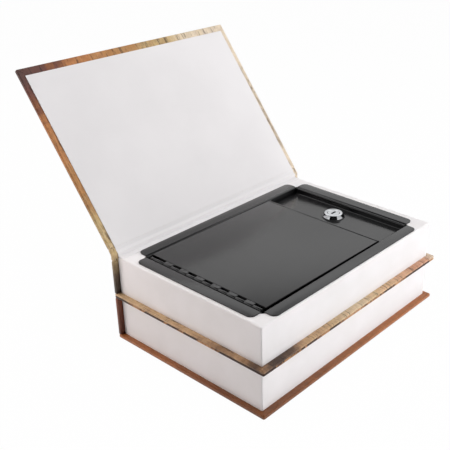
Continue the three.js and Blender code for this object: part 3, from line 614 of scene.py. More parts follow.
def turn_in(plan, side, width, height, trim):
    """One thin strip along a side of the plan, with ends cut at 45 degrees. Its points are a
    trapezium at two heights, and its map continues the sheet past the board's edge."""
    p0, p1, q0, q1 = shrunk(plan, trim)
    low, high = (q0, q1) if side in ("p0", "p1") else (p0, p1)
    far = width - trim
    along, inward = np.array([[low + MITRE_GAP, 0], [high - MITRE_GAP, 0],
                              [high - far - MITRE_GAP, far], [low + far + MITRE_GAP, far]]).T
    corners = np.column_stack({"p0": (p0 + inward, along), "p1": (p1 - inward, along),
                               "q0": (along, q0 + inward), "q1": (along, q1 - inward)}[side])
    if np.cross(corners[1] - corners[0], corners[2] - corners[0]) < 0:
        corners, inward = corners[::-1], inward[::-1]
    points = np.stack([np.column_stack([corners, np.full(4, h)]) for h in (height, height - PAPER)])
    sheet = corners + 2 * (inward[:, None] + trim) * np.array(OUTWARD[side])
    return points.reshape(-1, 3), skin(points), np.concatenate([sheet, sheet])


def wrapped_board(name, place, plan, heights, material, turn_ins=None, window=None, **table):
    """A board between two heights of its frame, the outer face at the higher one. Each ring lies
    inside the edge by r - r sin a and below the face by r - r cos a, and the same at the inner
    face."""
    h0, h1 = heights
    edge = min(EDGE_ROUND, (h1 - h0) / THIN_BOARD)
    a = np.linspace(0, math.pi / 2, EDGE_STEPS + 1)
    flat, rim = [edge + FLAT_RIM], edge * (1 - np.sin(a))
    drop = edge * (1 - np.cos(a))
    inset = np.concatenate([flat, rim, drop, flat])
    height = np.concatenate([[h1], h1 - drop, h0 + rim, [h0]])
    stack = rings([(shrunk(plan, i), CORNER_ROUND, h) for i, h in zip(inset, height)])
    base, outward = outline(plan, CORNER_ROUND)
    along = travelled(np.column_stack([inset, height]))
    sheet = base[None] + (along - along[1] - edge)[:, None, None] * outward[None]
    if window is not None:
        hole = rings([(window, WINDOW_CUT, h0), (window, WINDOW_CUT, h1)])
        stack = np.concatenate([stack, hole])
        sheet = np.concatenate([sheet, hole[:, :, :2]])
    faces = skin(stack, capped=window is None)
    points, sheet = stack.reshape(-1, 3), sheet.reshape(-1, 2)
    for side, width in (turn_ins or {}).items():
        more, more_faces, more_sheet = turn_in(plan, side, width, h0, edge)
        faces += [face + len(points) for face in more_faces]
        points, sheet = np.concatenate([points, more]), np.concatenate([sheet, more_sheet])
    return make_piece(name, placed(points, place), faces, material, sheet=sheet, **table)


# %% [markdown]
# ## Boards and spines
# The lower book's back cover, the two thin boards between the books with the window for the steel
# box, the two spines, and the open front cover. The spines are boards too, standing on edge.

# %% Make the boards and spines
FLANGE_REACH = 12.0
WINDOW_MARGIN = 3.5
WINDOW_CORNER = 8.0
SHOWN_GAP = 0.05
LAP = 3.0
block = span("upper_block_wrap")
steel = span("lock_box")
back = span("lower_back_cover")
front = span("lower_front_board")
rear = span("upper_back_board")
plan_top = plan_of(back)
window = shrunk(plan_of(steel), FLANGE_REACH - WINDOW_MARGIN)
head_square = block[0][1] - back[0][1] - SHOWN_GAP
fore_square = back[1][0] - block[1][0] - SHOWN_GAP
squares_top = {"p1": fore_square, "q0": head_square, "q1": head_square}
squares_under = {"p0": fore_square, "q0": head_square, "q1": head_square}

wrapped_board("back_cover_wrapped", under_place, from_below(plan_top), -back[::-1, 2], lower_print,
              turn_ins=squares_under,
              body="book_stack", replaces=["lower_back_cover"], slot="printed_lower")
wrapped_board("front_board_wrapped", flat_place, plan_top, front[:, 2], lower_front_print_and_shade,
              turn_ins=squares_top, window=window,
              body="book_stack", replaces=["lower_front_board"], slot="printed_lower")
wrapped_board("back_board_wrapped", under_place, from_below(plan_top), -rear[::-1, 2], middle_print_and_shade,
              turn_ins=squares_under, window=from_below(window),
              body="book_stack", replaces=["upper_back_board"], slot="printed_upper")
for node, paint, piece_slot in (("lower_spine", lower_spine_print, "printed_lower"),
                                ("upper_spine", upper_spine_print, "printed_upper")):
    low, high = span(node)
    wrapped_board(f"{node}_wrapped", spine_place, (low[2], high[2], low[1], high[1]),
                  (-high[0], -low[0]), paint, body="book_stack", replaces=[node], slot=piece_slot)

wrapped_board("front_cover_wrapped", cover_place, plan_of(cover), cover[:, 2], cover_print,
              turn_ins={"p1": cover[1][0] - lining[1][0] + LAP, "q0": lining[0][1] - cover[0][1] + LAP,
                        "q1": cover[1][1] - lining[1][1] + LAP},
              body="front_cover", replaces=["upper_front_cover"], slot="printed_upper")

# %% [markdown]
# ## The lining and the endpaper
# One sheet of white paper lines the inside of the cover, creases over the joint and is glued to
# the page block. The lining is flat. The crease is a path in section, carried along the hinge.
# Beside the cover's edge the bone folder has pressed a groove into it, which the photograph shows
# as a fine grey line.

# %% Make the lining
LINING_CORNER, LINING_RIM, LINING_EASE, GLUED_EASE = 0.4, 0.5, 0.08, 0.12
low_h, high_h = lining[:, 2]
stack = rings([(shrunk(plan_of(lining), inward), LINING_CORNER, h) for inward, h in (
    (LINING_RIM, high_h), (0, high_h - LINING_EASE), (0, low_h + LINING_EASE),
    (GLUED_EASE, low_h), (LINING_RIM, low_h))])
make_piece("cover_lining", placed(stack.reshape(-1, 3), cover_place), skin(stack), lining_paper_shaded,
           "white_paper", body="front_cover", replaces=["cover_pastedown"])

# %% Define paths and soft strips


def fillet_path(corners, radius, steps):
    """Straight runs joined by arcs: at each inner corner the arc starts r tan(turn / 2) before it.
    The radius is one number, or one for each inner corner."""
    corners = np.asarray(corners, float)
    made = [corners[0]]
    radii = np.broadcast_to(radius, len(corners) - 2)
    for before, corner, after, radius in zip(corners, corners[1:], corners[2:], radii):
        into = (corner - before) / np.linalg.norm(corner - before)
        out = (after - corner) / np.linalg.norm(after - corner)
        turn_angle = math.atan2(into[0] * out[1] - into[1] * out[0], into @ out)
        side = math.copysign(1, turn_angle)
        start = corner - into * radius * math.tan(abs(turn_angle) / 2)
        centre = start + side * radius * np.array([-into[1], into[0]])
        swing = np.linspace(0, turn_angle, steps + 1)
        spoke = start - centre
        made += [centre + np.array([spoke[0] * math.cos(s) - spoke[1] * math.sin(s),
                                    spoke[0] * math.sin(s) + spoke[1] * math.cos(s)]) for s in swing]
    made.append(corners[-1])
    return np.array(made)


def divided(path, longest):
    """The same path with extra points, so that no run is longer than a limit."""
    made = [path[:1]]
    for a, b in zip(path, path[1:]):
        count = max(1, math.ceil(np.linalg.norm(b - a) / longest))
        made.append(a + (b - a) * np.linspace(0, 1, count + 1)[1:, None])
    return np.concatenate(made)


def path_normals(path):
    """Left-hand unit normals of a path, from the mean of the runs that meet at each point."""
    run = np.diff(path, axis=0)
    run /= np.linalg.norm(run, axis=1)[:, None]
    mean = np.concatenate([run[:1], run[:-1] + run[1:], run[-1:]])
    mean /= np.linalg.norm(mean, axis=1)[:, None]
    return np.column_stack([-mean[:, 1], mean[:, 0]])


def along_y(loop, y):
    """A row of points for each y, from one loop in the (x, z) plane or one for each row."""
    loops = np.broadcast_to(loop, (len(y), *np.shape(loop)[-2:]))
    places = np.broadcast_to(y[:, None], loops.shape[:2])
    return np.stack([loops[..., 0], places, loops[..., 1]], axis=-1)


def sheet_map(across, y):
    """The map of such rows: the place across the sheet, and y."""
    return np.stack(np.broadcast_arrays(across[None, :], y[:, None]), axis=-1).reshape(-1, 2)


def cover_point(p, h):
    """A point of the cover's cross-section in the (x, z) plane."""
    return placed([[p, 0, h]], cover_place)[0][[0, 2]]


def along_cover(x, h):
    """How far along the cover, at a height of its frame, a place in x is reached."""
    return (x - cover_point(0, h)[0]) / cover_place[1][0][0]


# %% Make the endpaper's crease
GROOVE_LEAD, GROOVE_DEEP = 0.6, 0.55
CREASE_BENDS, CREASE_STEPS = (0.3, 0.6, 0.3, 0.5), 4
CREASE_RUN, SOFT_ROWS = 0.8, 25
PAPER_STAND_OFF = 0.25
JOIN_GAP = 0.05
endpaper = span("endpaper_joint")
thick = high_h - low_h
mid_h = (high_h + low_h) / 2
glued_z = endpaper[0][2] + thick / 2
shoulder_x = block[0][0] + PAPER_STAND_OFF + thick / 2
lead = lining[0][0] - GROOVE_LEAD
shoulder_along = along_cover(shoulder_x, mid_h)
path = fillet_path([cover_point(lining[0][0] - JOIN_GAP, mid_h), cover_point(lead, mid_h),
                    cover_point((lead + shoulder_along) / 2, mid_h + GROOVE_DEEP),
                    cover_point(shoulder_along, mid_h), (shoulder_x, glued_z),
                    (endpaper[1][0], glued_z)], CREASE_BENDS, CREASE_STEPS)
path = divided(path, CREASE_RUN)
half = path_normals(path) * thick / 2
y = np.linspace(endpaper[0][1], endpaper[1][1], SOFT_ROWS)
points = along_y(np.concatenate([path + half, (path - half)[::-1]]), y)
across = np.concatenate([travelled(path), travelled(path)[::-1]])
crease = make_piece("endpaper_crease", points.reshape(-1, 3), skin(points), lining_paper_shaded, "white_paper",
                    replaces=["endpaper_joint"], sheet=sheet_map(across, y))
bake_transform(crease)
print("groove from", round(lead, 2), "to", round(shoulder_along, 2), "mm")

# %% [markdown]
# ## The printed joint of the case
# Between the spine board and the cover board the printed paper spans the joint alone, backed by a
# cloth lining. It bends in one arc from the spine's outer face to the cover's outer face. A thick
# piece has that arc outside and the shoulder of the block inside.

# %% Make the case's joint
ARC_STEPS, INNER_RUN = 12, 0.9
BELOW_SPINE = 0.2
END_INSET, END_PLACE = np.array([0.5, 0.15, 0.0]), np.array([0, 0.12, 0.5])
cloth = span("cover_joint_cloth")
spine_top = cloth[0][2]
lean = opened - math.pi / 2
cover_low, cover_high = cover[:, 2]
spine_x, shoulder_x = back[0][0], block[0][0]
reach = cover_point(along_cover(spine_x, cover_high), cover_high)[1] - spine_top
radius = reach / math.tan(lean / 2)
angle = np.linspace(0, lean, ARC_STEPS + 1)
outer = np.column_stack([spine_x - radius + radius * np.cos(angle), spine_top + radius * np.sin(angle)])
inner = np.array([cover_point(cover[0][0] - JOIN_GAP, cover_low),
                  cover_point(along_cover(shoulder_x, cover_low), cover_low),
                  (shoulder_x, spine_top - BELOW_SPINE)])
loop = np.concatenate([outer, divided(inner, INNER_RUN)])
toward = loop.mean(axis=0) - loop
toward /= np.linalg.norm(toward, axis=1)[:, None]
y = np.linspace(cloth[0][1], cloth[1][1], SOFT_ROWS)
inset = np.concatenate([END_INSET, np.zeros(SOFT_ROWS - 2), END_INSET[::-1]])
y = np.concatenate([y[0] + END_PLACE, y[1:-1], y[-1] - END_PLACE[::-1]])
points = along_y(loop + toward * inset[:, None, None], y)
joint = make_piece("case_joint", points.reshape(-1, 3), skin(points), cover_print, "printed_upper",
                   replaces=["cover_joint_cloth"], sheet=sheet_map(travelled(loop) - reach, y))
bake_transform(joint)

# %% [markdown]
# ## The page blocks
# The leaves are glued into a stiff block and wrapped in white paper, so the sides are smooth. The
# outer edge of the top is soft, and the upright corners are crisp. The skin is a closed loop of
# rings: from the window over the top edge, down the side and back up inside.

# %% Make the page blocks
WRAP = 0.5
BLOCK_ROUND = 1.6
BLOCK_CORNER = 1.1
BLOCK_STEPS = 8
TOP_RIM = 0.6


def page_block(name, node):
    """Rings from the window's edge outward over the top, down the sides and back inside the paper."""
    low, high = span(node)
    plan = plan_of((low, high))
    inside, inner_corner = shrunk(plan, WRAP), BLOCK_CORNER - WRAP
    levels = [(window, WINDOW_CORNER, high[2]), (shrunk(plan, BLOCK_ROUND + TOP_RIM), BLOCK_CORNER, high[2])]
    levels += rounded(plan, BLOCK_CORNER, BLOCK_ROUND, high[2], BLOCK_STEPS)
    levels += [(plan, BLOCK_CORNER, low[2]), (inside, inner_corner, low[2])]
    levels += rounded(inside, inner_corner, BLOCK_ROUND - WRAP, high[2] - WRAP, BLOCK_STEPS)[::-1]
    levels += [(window, WINDOW_CORNER, high[2] - WRAP)]
    stack = rings(levels, side_steps=30)
    make_piece(name, stack.reshape(-1, 3), skin(stack, capped=False), page_paper, "white_paper",
               body="book_stack", replaces=[node])


page_block("lower_pages", "lower_block_wrap")
page_block("upper_pages", "upper_block_wrap")

# %% [markdown]
# ## Folded steel
# The box, the lid and the hinge leaves are cut from sheet steel and folded on a press brake: each
# is one sheet that follows a path, so one function can draw them all. The path is the middle of
# the sheet in a (u, z) section, w runs across it, and the cut edges are softened as a powder coat
# softens them. At the round end of a flange the edge leaves the side line and follows an arc.

# %% Define a folded sheet
SOFT = 0.22
SOFT_STEPS = 3
EDGE_LEVELS = 2 * (SOFT_STEPS + 1)
CLEAR_OF_ARC = 0.01


def square_ends(path, start=True, end=True):
    """The edge of a sheet on its low side: a row (s, w) for each path point, s being the distance
    travelled, and the direction that leads inward from the edge. A free end's row leads both ways."""
    s = travelled(path)
    edge = np.column_stack([s, np.zeros(len(s))])
    inward = np.tile([0.0, 1.0], (len(s), 1))
    if start:
        inward[0] = (1, 1)
    if end:
        inward[-1] = (-1, 1)
    return edge, inward


def round_end(path, radius, steps=10):
    """The edge of a sheet whose far corners are arcs: s = S - r + r sin a and w = r - r cos a."""
    edge, inward = square_ends(path, start=False, end=False)
    a = np.linspace(0, math.pi / 2, steps + 1)
    arc = np.column_stack([edge[-1, 0] - radius + radius * np.sin(a), radius - radius * np.cos(a)])
    keep = edge[:, 0] < edge[-1, 0] - radius - CLEAR_OF_ARC
    return (np.concatenate([edge[keep], arc]),
            np.concatenate([inward[keep], np.column_stack([-np.sin(a), np.cos(a)])]))


def folded_sheet(path, thickness, wide, edge, inward, columns=()):
    """Rows along the path. Each row is a loop: down the softened edge on the far side, back across
    the underside and up the near side. A point at inset i and height h of the edge lies at (s, w)
    plus i times the inward direction, lifted by h along the path's normal. Columns are extra
    places across, on both faces. Returns points (u, w, z), faces and the number in each loop."""
    path = np.asarray(path, float)
    a = np.linspace(0, math.pi / 2, SOFT_STEPS + 1)
    rim, drop = SOFT * (1 - np.sin(a)), SOFT * (1 - np.cos(a))
    inset = np.concatenate([rim, rim[::-1]])
    height = np.concatenate([thickness / 2 - drop, drop[::-1] - thickness / 2])
    near = edge[:, None, :] + inset[None, :, None] * inward[:, None, :]
    far = np.stack([near[..., 0], wide - near[..., 1]], axis=-1)
    across = np.broadcast_to(np.asarray(columns, float), (len(edge), len(columns)))
    middle = np.stack([np.broadcast_to(near[:, :1, 0], across.shape), across], axis=-1)
    flat = np.concatenate([far, middle[:, ::-1], near[:, ::-1], middle], axis=1)
    face = np.full(len(columns), thickness / 2)
    lift = np.concatenate([height, -face, height[::-1], face])
    s, w = flat[..., 0], flat[..., 1]
    base, normal = ([np.interp(s, travelled(path), part[:, k]) for k in (0, 1)]
                    for part in (path, path_normals(path)))
    points = np.stack([base[0] + lift * normal[0], w, base[1] + lift * normal[1]], axis=-1)
    count, extra = flat.shape[1], len(columns)
    faces = [tuple(f) for f in grid_faces(len(edge), count)]
    last = 2 * EDGE_LEVELS + extra - 1
    cap = [[k, k + 1, last - 1 - k, last - k] for k in range(EDGE_LEVELS - 1)]
    cap[0] += list(range(last + 1, count))
    cap[-1][2:2] = list(range(EDGE_LEVELS, EDGE_LEVELS + extra))
    faces += [tuple(part) for part in cap]
    faces += [tuple(i + (len(edge) - 1) * count for i in part[::-1]) for part in cap]
    return points.reshape(-1, 3), faces, count


def joined(pieces):
    """Several closed forms as one list of points and one list of faces."""
    points, faces, start = [], [], 0
    for some, some_faces in pieces:
        faces += [tuple(int(i) + start for i in f) for f in facing_out(some, some_faces)]
        points.append(some)
        start += len(some)
    return np.concatenate(points), faces


def steel_piece(name, forms, body, node):
    """A powder-coated piece of one or more closed forms that stands for one CAD node."""
    make_piece(name, *joined(forms), powder_coat, "coated_steel", body=body, replaces=[node])


# %% [markdown]
# ## The steel box
# The tub is deep: it stands on the lower book's back cover and reaches through both books. Its four
# walls end in bent flanges that lie on the white paper and hide the cut edge of the window.

# %% Make the steel box
SHEET = 1.0
FLANGE_BEND, FLANGE_STEPS = 2.4, 10
FLANGE_CORNER = 5.0
FLANGE_RELIEF = 0.4
TUB_FOLD, TUB_CORNER, TUB_STEPS = 1.2, 0.8, 6
inner = shrunk(plan_of(steel), FLANGE_REACH)
flange_top = steel[1][2]
wall_top = flange_top - FLANGE_BEND


def tub():
    """Rings up the inner walls, over the rim and down the outer walls, capped by the two floors."""
    under_z = steel[0][2]
    outer, outer_corner, outer_fold = shrunk(inner, -SHEET), TUB_CORNER + SHEET, TUB_FOLD + SHEET
    levels = rounded(inner, TUB_CORNER, TUB_FOLD, under_z + SHEET, TUB_STEPS, upward=True)
    levels += [(inner, TUB_CORNER, wall_top), (outer, outer_corner, wall_top)]
    levels += rounded(outer, outer_corner, outer_fold, under_z, TUB_STEPS, upward=True)[::-1]
    stack = rings(levels)
    return stack.reshape(-1, 3), [tuple(f) for f in skin(stack)]


def flange(side):
    """A bent flange on one side: (u, w) turned and moved so that u runs outward from the wall."""
    along_x = side in ("q0", "q1")
    wide = (inner[1] - inner[0] if along_x else inner[3] - inner[2]) - 2 * FLANGE_RELIEF
    path = fillet_path([(SHEET / 2, wall_top - SHEET), (SHEET / 2, flange_top - SHEET / 2),
                        (FLANGE_REACH, flange_top - SHEET / 2)], FLANGE_BEND - SHEET / 2, FLANGE_STEPS)
    points, faces, _ = folded_sheet(path, SHEET, wide, *round_end(path, FLANGE_CORNER))
    u, w, z = points.T
    w = w + FLANGE_RELIEF
    x, y = {"p0": (inner[0] - u, inner[2] + w), "p1": (inner[1] + u, inner[2] + w),
            "q0": (inner[0] + w, inner[2] - u), "q1": (inner[0] + w, inner[3] + u)}[side]
    return np.column_stack([x, y, z]), faces


steel_piece("folded_steel_box", [tub(), *(flange(side) for side in OUTWARD)], "book_stack", "lock_box")

# %% [markdown]
# ## The lid
# One sheet again: the flush panel, a step down to the trough that holds the lock, an upright and a
# hem that is folded over into a lip. Just before the step the press has marked the sheet with a
# shallow line, which mirrors the dark over the tent as one thin stroke. Round the lock's hole the
# flat trough is divided like the spokes of a wheel, so that the hole is truly round. In the
# photograph the lid isn't quite square on its hinge, so its edges are drawn with that small skew.

# %% Make the lid
LID_OUT_SPINE, LID_IN_FORE, LIP_OUT = 1.2, 0.4, 0.45
LID_SKEW, SKEW_ABOUT = 0.008, -20
TROUGH_LONG, TROUGH_DEEP, TROUGH_SLOPE = 42.0, 5.7, 1.6
LID_BEND, PRESS_BEND, PATCH_BEND, BEND_STEPS = 1.6, 0.6, 0.5, 6
HEM_GAP, HEM_RETURN, HEM_STEPS = 0.2, 3.6, 12
TINY = 1e-6
# The line before the step: where it begins, where it is deepest and where it ends.
PRESS_LINE = ((-3.0, 0), (-2.5, 0.4), (-1.5, 0))
LID_NOTCH = 1.3
PATCH, HOLE, ROUND = 13.0, 8.15, 48
lid_box = span("lid_panel")
lid_x0, lid_x1 = lid_box[0][0] - LID_OUT_SPINE, lid_box[1][0] - LID_IN_FORE
panel_y, lip_y = lid_box[0][1], lid_box[1][1] + LIP_OUT
lock_at = span("lock_trim_ring").mean(axis=0)
trough_z = flange_top - TROUGH_DEEP


def lid_path():
    """The lid's middle line in (y, z), from the hinge edge to the end of the hem."""
    high, low = flange_top - SHEET / 2, trough_z - SHEET / 2
    hem = SHEET + HEM_GAP
    inner_lip, outer_lip = lip_y - SHEET / 2 - hem, lip_y - SHEET / 2
    step_y = lip_y - TROUGH_LONG
    press = [(step_y + along, high - depth) for along, depth in PRESS_LINE]
    body = fillet_path(
        [(panel_y + LID_NOTCH, high), *press, (step_y, high), (step_y + TROUGH_SLOPE, low),
         (lock_at[1] - PATCH, low), (lock_at[1] + PATCH, low), (inner_lip, low), (inner_lip, high - hem)],
        [*[PRESS_BEND] * 3, LID_BEND, LID_BEND, PATCH_BEND, PATCH_BEND, LID_BEND], BEND_STEPS)
    a = np.linspace(math.pi, 0, HEM_STEPS + 1)
    crown = np.column_stack([(inner_lip + outer_lip) / 2 + hem / 2 * np.cos(a),
                             high - hem / 2 + hem / 2 * np.sin(a)])
    whole = np.concatenate([body, crown])
    apart = np.linalg.norm(np.diff(whole, axis=0, prepend=[(0, 0)]), axis=1) > TINY
    return np.concatenate([whole[apart], [(outer_lip, high - HEM_RETURN)]])


path = lid_path()
columns = [lock_at[0] - PATCH - lid_x0, lock_at[0] + PATCH - lid_x0]
points, faces, count = folded_sheet(path, SHEET, lid_x1 - lid_x0, *square_ends(path), columns=columns)
points = np.column_stack([points[:, 1] + lid_x0, points[:, 0], points[:, 2]])
faces = facing_out(points, faces)
start = len(points)
print("lid as one sheet:", start, "points")

# %% Cut the lock's hole
row = int(np.argmin(np.abs(path[:, 0] - (lock_at[1] - PATCH)) + np.abs(path[:, 1] - path[:, 1].min())))


def square_round_hole(first):
    """The corners of the square round the hole, on the face whose columns have this number."""
    return [k * count + first + i for k in (row, row + 1) for i in (0, 1)]


under, over = square_round_hole(EDGE_LEVELS), square_round_hole(2 * EDGE_LEVELS + len(columns))
faces = [f for f in faces if set(f) not in (set(under), set(over))]
angle = np.arange(ROUND) / ROUND * 2 * math.pi - 3 * math.pi / 4
circle = lock_at[:2] + HOLE * np.column_stack([np.cos(angle), np.sin(angle)])
points = np.concatenate([points] + [np.column_stack([circle, np.full(ROUND, z)])
                                    for z in (trough_z, trough_z - SHEET)])
for square, first, turned in ((over, start, False), (under, start + ROUND, True)):
    corners = sorted(square, key=lambda i: math.atan2(points[i][1] - lock_at[1], points[i][0] - lock_at[0]))
    for k, corner in enumerate(corners):
        near = [first + (k * ROUND // 4 + i - ROUND // 8) % ROUND for i in range(ROUND // 4 + 1)]
        fan = [(corner, b, a) for a, b in zip(near, near[1:])] + [(corner, corners[(k + 1) % 4], near[-1])]
        faces += [f[::-1] if turned else f for f in fan]
faces += [(start + i, start + j, start + ROUND + j, start + ROUND + i)
          for i, j in ((i, (i + 1) % ROUND) for i in range(ROUND))]
points[:start, 0] += LID_SKEW * (points[:start, 1] - SKEW_ABOUT)
make_piece("folded_lid", points, faces, powder_coat, "coated_steel", body="steel_lid", replaces=["lid_panel"])

# %% [markdown]
# ## The piano hinge
# Each leaf is a strip whose tabs are rolled round the pin. The box's tabs rise from its wall, the
# lid's tabs leave the lid's own level. They take turns along the pin with small gaps between them.
# Where the cam turns under the tub's edge, it grips a small channel, folded from thicker sheet.

# %% Make the hinge
KNUCKLES, KNUCKLE_GAP = 13, 0.4
ROLL, ROLL_SHEET, ROLL_STEPS = 1.35, 0.87, 30
LEAF, LEAF_REACH, LEAF_NOTCH = 0.8, 11.0, 2.3
UNDER_LID = 0.01
END_TAB = 6.4
# Where a tab's straight lead begins and ends, from the axle or the lid's edge, and how the tab
# rolls round the pin, in degrees.
BOX_LEAD, BOX_SHIFT, BOX_ROLL = (5, 1.9), 0.05, (180, -75)
LID_LEAD, LID_SHY, LID_ROLL = (2.5, 0.4), 0.35, (5, -270)
axle_y, axle_z = np.array(joint_entry("lid_hinge")["pos_m"])[1:] / MM
pin_x0, pin_x1 = span("hinge_pin")[:, 0]
pitch = (pin_x1 - pin_x0 + KNUCKLE_GAP) / KNUCKLES


def sheet_along_x(path, thickness, x0, x1):
    """A sheet on a (y, z) path between two places in x, with four free edges."""
    points, faces, _ = folded_sheet(path, thickness, x1 - x0, *square_ends(np.asarray(path, float)))
    return np.column_stack([points[:, 1] + x0, points[:, 0], points[:, 2]]), faces


def rolled(lead, first, last):
    """A straight lead, then an arc about the pin from one angle to another, in degrees."""
    a = np.radians(np.linspace(first, last, ROLL_STEPS + 1))
    arc = np.column_stack([axle_y + ROLL * np.cos(a), axle_z + ROLL * np.sin(a)])
    return np.concatenate([np.array(lead, float), arc])


def knuckles(path, first):
    """One tab for every second place along the pin. The first of all reaches to the lid's corner."""
    starts = [pin_x0 + i * pitch for i in range(first, KNUCKLES, 2)]
    return [sheet_along_x(path, ROLL_SHEET, x - (END_TAB if x == pin_x0 else 0), x + pitch - KNUCKLE_GAP)
            for x in starts]


wall_y, tab_y = inner[2] + LEAF / 2, inner[2] + LEAF / 2 + BOX_SHIFT
leaf_y, under_lid = panel_y + LID_NOTCH, flange_top - SHEET - LEAF / 2 - UNDER_LID
box_tab = rolled([(tab_y, axle_z - BOX_LEAD[0]), (tab_y, axle_z - BOX_LEAD[1])], *BOX_ROLL)
lid_tab = rolled([(panel_y + LID_LEAD[0], under_lid), (axle_y + ROLL + LID_LEAD[1], under_lid)], *LID_ROLL)
lid_tab = np.concatenate([lid_tab, [(leaf_y - LID_SHY, axle_z + ROLL)]])
box_leaf = [(wall_y, axle_z - LEAF_REACH), (wall_y, axle_z - LEAF_NOTCH)]
lid_leaf = [(leaf_y, under_lid), (panel_y + LEAF_REACH, under_lid)]
steel_piece("hinge_strip_box", [sheet_along_x(box_leaf, LEAF, pin_x0, pin_x1), *knuckles(box_tab, 0)],
            "book_stack", "hinge_leaf_box")
steel_piece("hinge_strip_lid", [sheet_along_x(lid_leaf, LEAF, pin_x0, pin_x1), *knuckles(lid_tab, 1)],
            "steel_lid", "hinge_leaf_lid")

# %% Make the strike channel
STRIKE, STRIKE_BEND, STRIKE_STEPS = 1.2, 1.8, 8
low, high = span("strike_channel")
web_y, tip_y = high[1] - STRIKE / 2, low[1]
upper_z, lower_z = high[2] - STRIKE / 2, low[2] + STRIKE / 2
path = fillet_path([(tip_y, upper_z), (web_y, upper_z), (web_y, lower_z), (tip_y, lower_z)],
                   STRIKE_BEND, STRIKE_STEPS)
steel_piece("strike_fold", [sheet_along_x(path, STRIKE, low[0], high[0])], "book_stack", "strike_channel")

# %% [markdown]
# ## The cam lock
# A die-cast zinc body: a head with a sloping skirt, a barrel with a rolled thread, and a bore that
# is broached crosswise, so that the wafers can step into the body when there is no key. The thread
# is a wave in the radius, r = R - d times the distance to the crest, and the crest climbs with the
# angle. The broached bore is the larger of the bore and two crossed slots.

# %% Make the lock's body and its ring
BORE, BARREL, SKIRT, RIM = 5.75, 8.0, 10.4, 8.1
HEAD_LOW, HEAD_HIGH, RIM_ROUND, RIM_FACE, RIM_STEPS = 0.5, 4.0, 0.6, 0.7, 6
# The skirt ends in an upright band: its height, and where the slope begins.
BAND, BAND_TOP = 0.36, 0.56
BARREL_TOP, BARREL_END, BARREL_LEAD = -1.0, -16.7, 0.6
CHAMFER, FACE_EASE, BORE_EASE, BARREL_EASE = 0.1, 0.08, 0.2, 0.5
BROACH_SPARE, RUN_OUT = 0.02, 0.05
THREAD_PITCH, THREAD_DEEP, THREAD_FADE, THREAD_IN, THREAD_ROWS = 1.5, 0.3, 1.5, 0.2, 8
SLOT_REACH, SLOT_HALF, SLOT_TOP, SLOT_LOW = 6.75, 3.4, -2.7, -14.5
SPOKES = 96
# The ring's section: radius and height, between the trough and the head.
RING = ((8.15, 0.0), (10.8, 0.0), (10.9, 0.1), (10.9, 0.25), (10.8, 0.4), (10.6, 0.5), (8.15, 0.5))
spoke = np.arange(SPOKES) / SPOKES * 2 * math.pi


def revolved(profile):
    """A closed profile of (radius, height) rows turned about the lock's axis. A radius may be one
    number or one for each spoke. It stands over the trough, at the place of the lock."""
    points = np.concatenate([np.column_stack([r * np.cos(spoke), r * np.sin(spoke), np.full(SPOKES, z)])
                             for r, z in profile]) + [lock_at[0], lock_at[1], trough_z]
    return points, [tuple(f) for f in grid_faces(len(profile), SPOKES, closed_rows=True)]


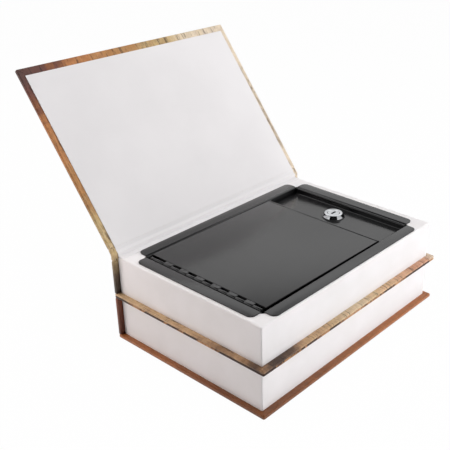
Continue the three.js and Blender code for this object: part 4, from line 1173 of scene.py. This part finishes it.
cos, sin = (np.maximum(np.abs(part(spoke)), TINY) for part in (np.cos, np.sin))
slots = np.maximum(np.minimum(SLOT_REACH / cos, SLOT_HALF / sin),
                   np.minimum(SLOT_REACH / sin, SLOT_HALF / cos))
broached = np.maximum(BORE + BROACH_SPARE, slots)
profile = [(BORE, HEAD_HIGH - RIM_FACE), (BORE + RIM_FACE / 2, HEAD_HIGH - FACE_EASE),
           (BORE + RIM_FACE / 2 + CHAMFER, HEAD_HIGH)]
profile += [(RIM + RIM_ROUND * math.cos(t), HEAD_HIGH - RIM_ROUND * (1 - math.sin(t)))
            for t in np.linspace(math.pi / 2, 0, RIM_STEPS + 1)]
profile += [(SKIRT - CHAMFER, HEAD_LOW + BAND_TOP), (SKIRT, HEAD_LOW + BAND), (SKIRT, HEAD_LOW + CHAMFER),
            (SKIRT - CHAMFER, HEAD_LOW), (BARREL, HEAD_LOW), (BARREL, BARREL_TOP)]
for z in np.arange(BARREL_TOP - THREAD_IN, BARREL_END + BARREL_LEAD + THREAD_IN,
                   -THREAD_PITCH / THREAD_ROWS):
    turns = (z / THREAD_PITCH - spoke / (2 * math.pi)) % 1.0
    fade = min(1.0, (BARREL_TOP - z) / THREAD_FADE, (z - BARREL_END - BARREL_LEAD) / THREAD_FADE)
    profile.append((BARREL - THREAD_DEEP * fade * np.abs(2 * turns - 1), z))
profile += [(BARREL - RUN_OUT, BARREL_END + BARREL_LEAD), (BARREL - BARREL_EASE, BARREL_END),
            (BORE + BORE_EASE, BARREL_END), (BORE, BARREL_END + BORE_EASE)]
profile += [(BORE, SLOT_LOW), (broached, SLOT_LOW), (broached, SLOT_TOP), (BORE, SLOT_TOP)]
make_piece("lock_body", *revolved(profile), polished_chrome, "chrome", body="steel_lid",
           replaces=["lock_housing"], sharp=28)
# The black ring peeps out past the skirt as a thin dark outline round the head.
make_piece("lock_black_ring", *revolved(RING), black_trim, "black_trim", body="steel_lid",
           replaces=["lock_trim_ring"])

# %% [markdown]
# ## Finishes for the carried-over parts
# The parts of the lock and the blocks whose forms are already fine keep their CAD meshes and only
# get their real finishes.

# %% Give the CAD parts their finishes
finishes = {f"{book}_block_{bar}_bar": fibreboard
            for book in ("lower", "upper") for bar in ("head", "tail", "spine", "fore_edge")}
finishes.update(dict.fromkeys(("hinge_pin", "lock_nut", "lock_cam", "cam_screw"), zinc_plate))
finishes.update({f"wafer_spring_{i}": zinc_plate for i in range(1, 6)})
finishes.update({f"lock_wafer_{i}": stamped_brass for i in range(1, 6)})
finishes["lock_plug"] = polished_chrome
for node, finish in finishes.items():
    part = frame["nodes"][node]
    if not part.material_slots:
        part.data.materials.append(finish)
    for entry in part.material_slots:
        entry.material = finish
print("finishes:", len(finishes))
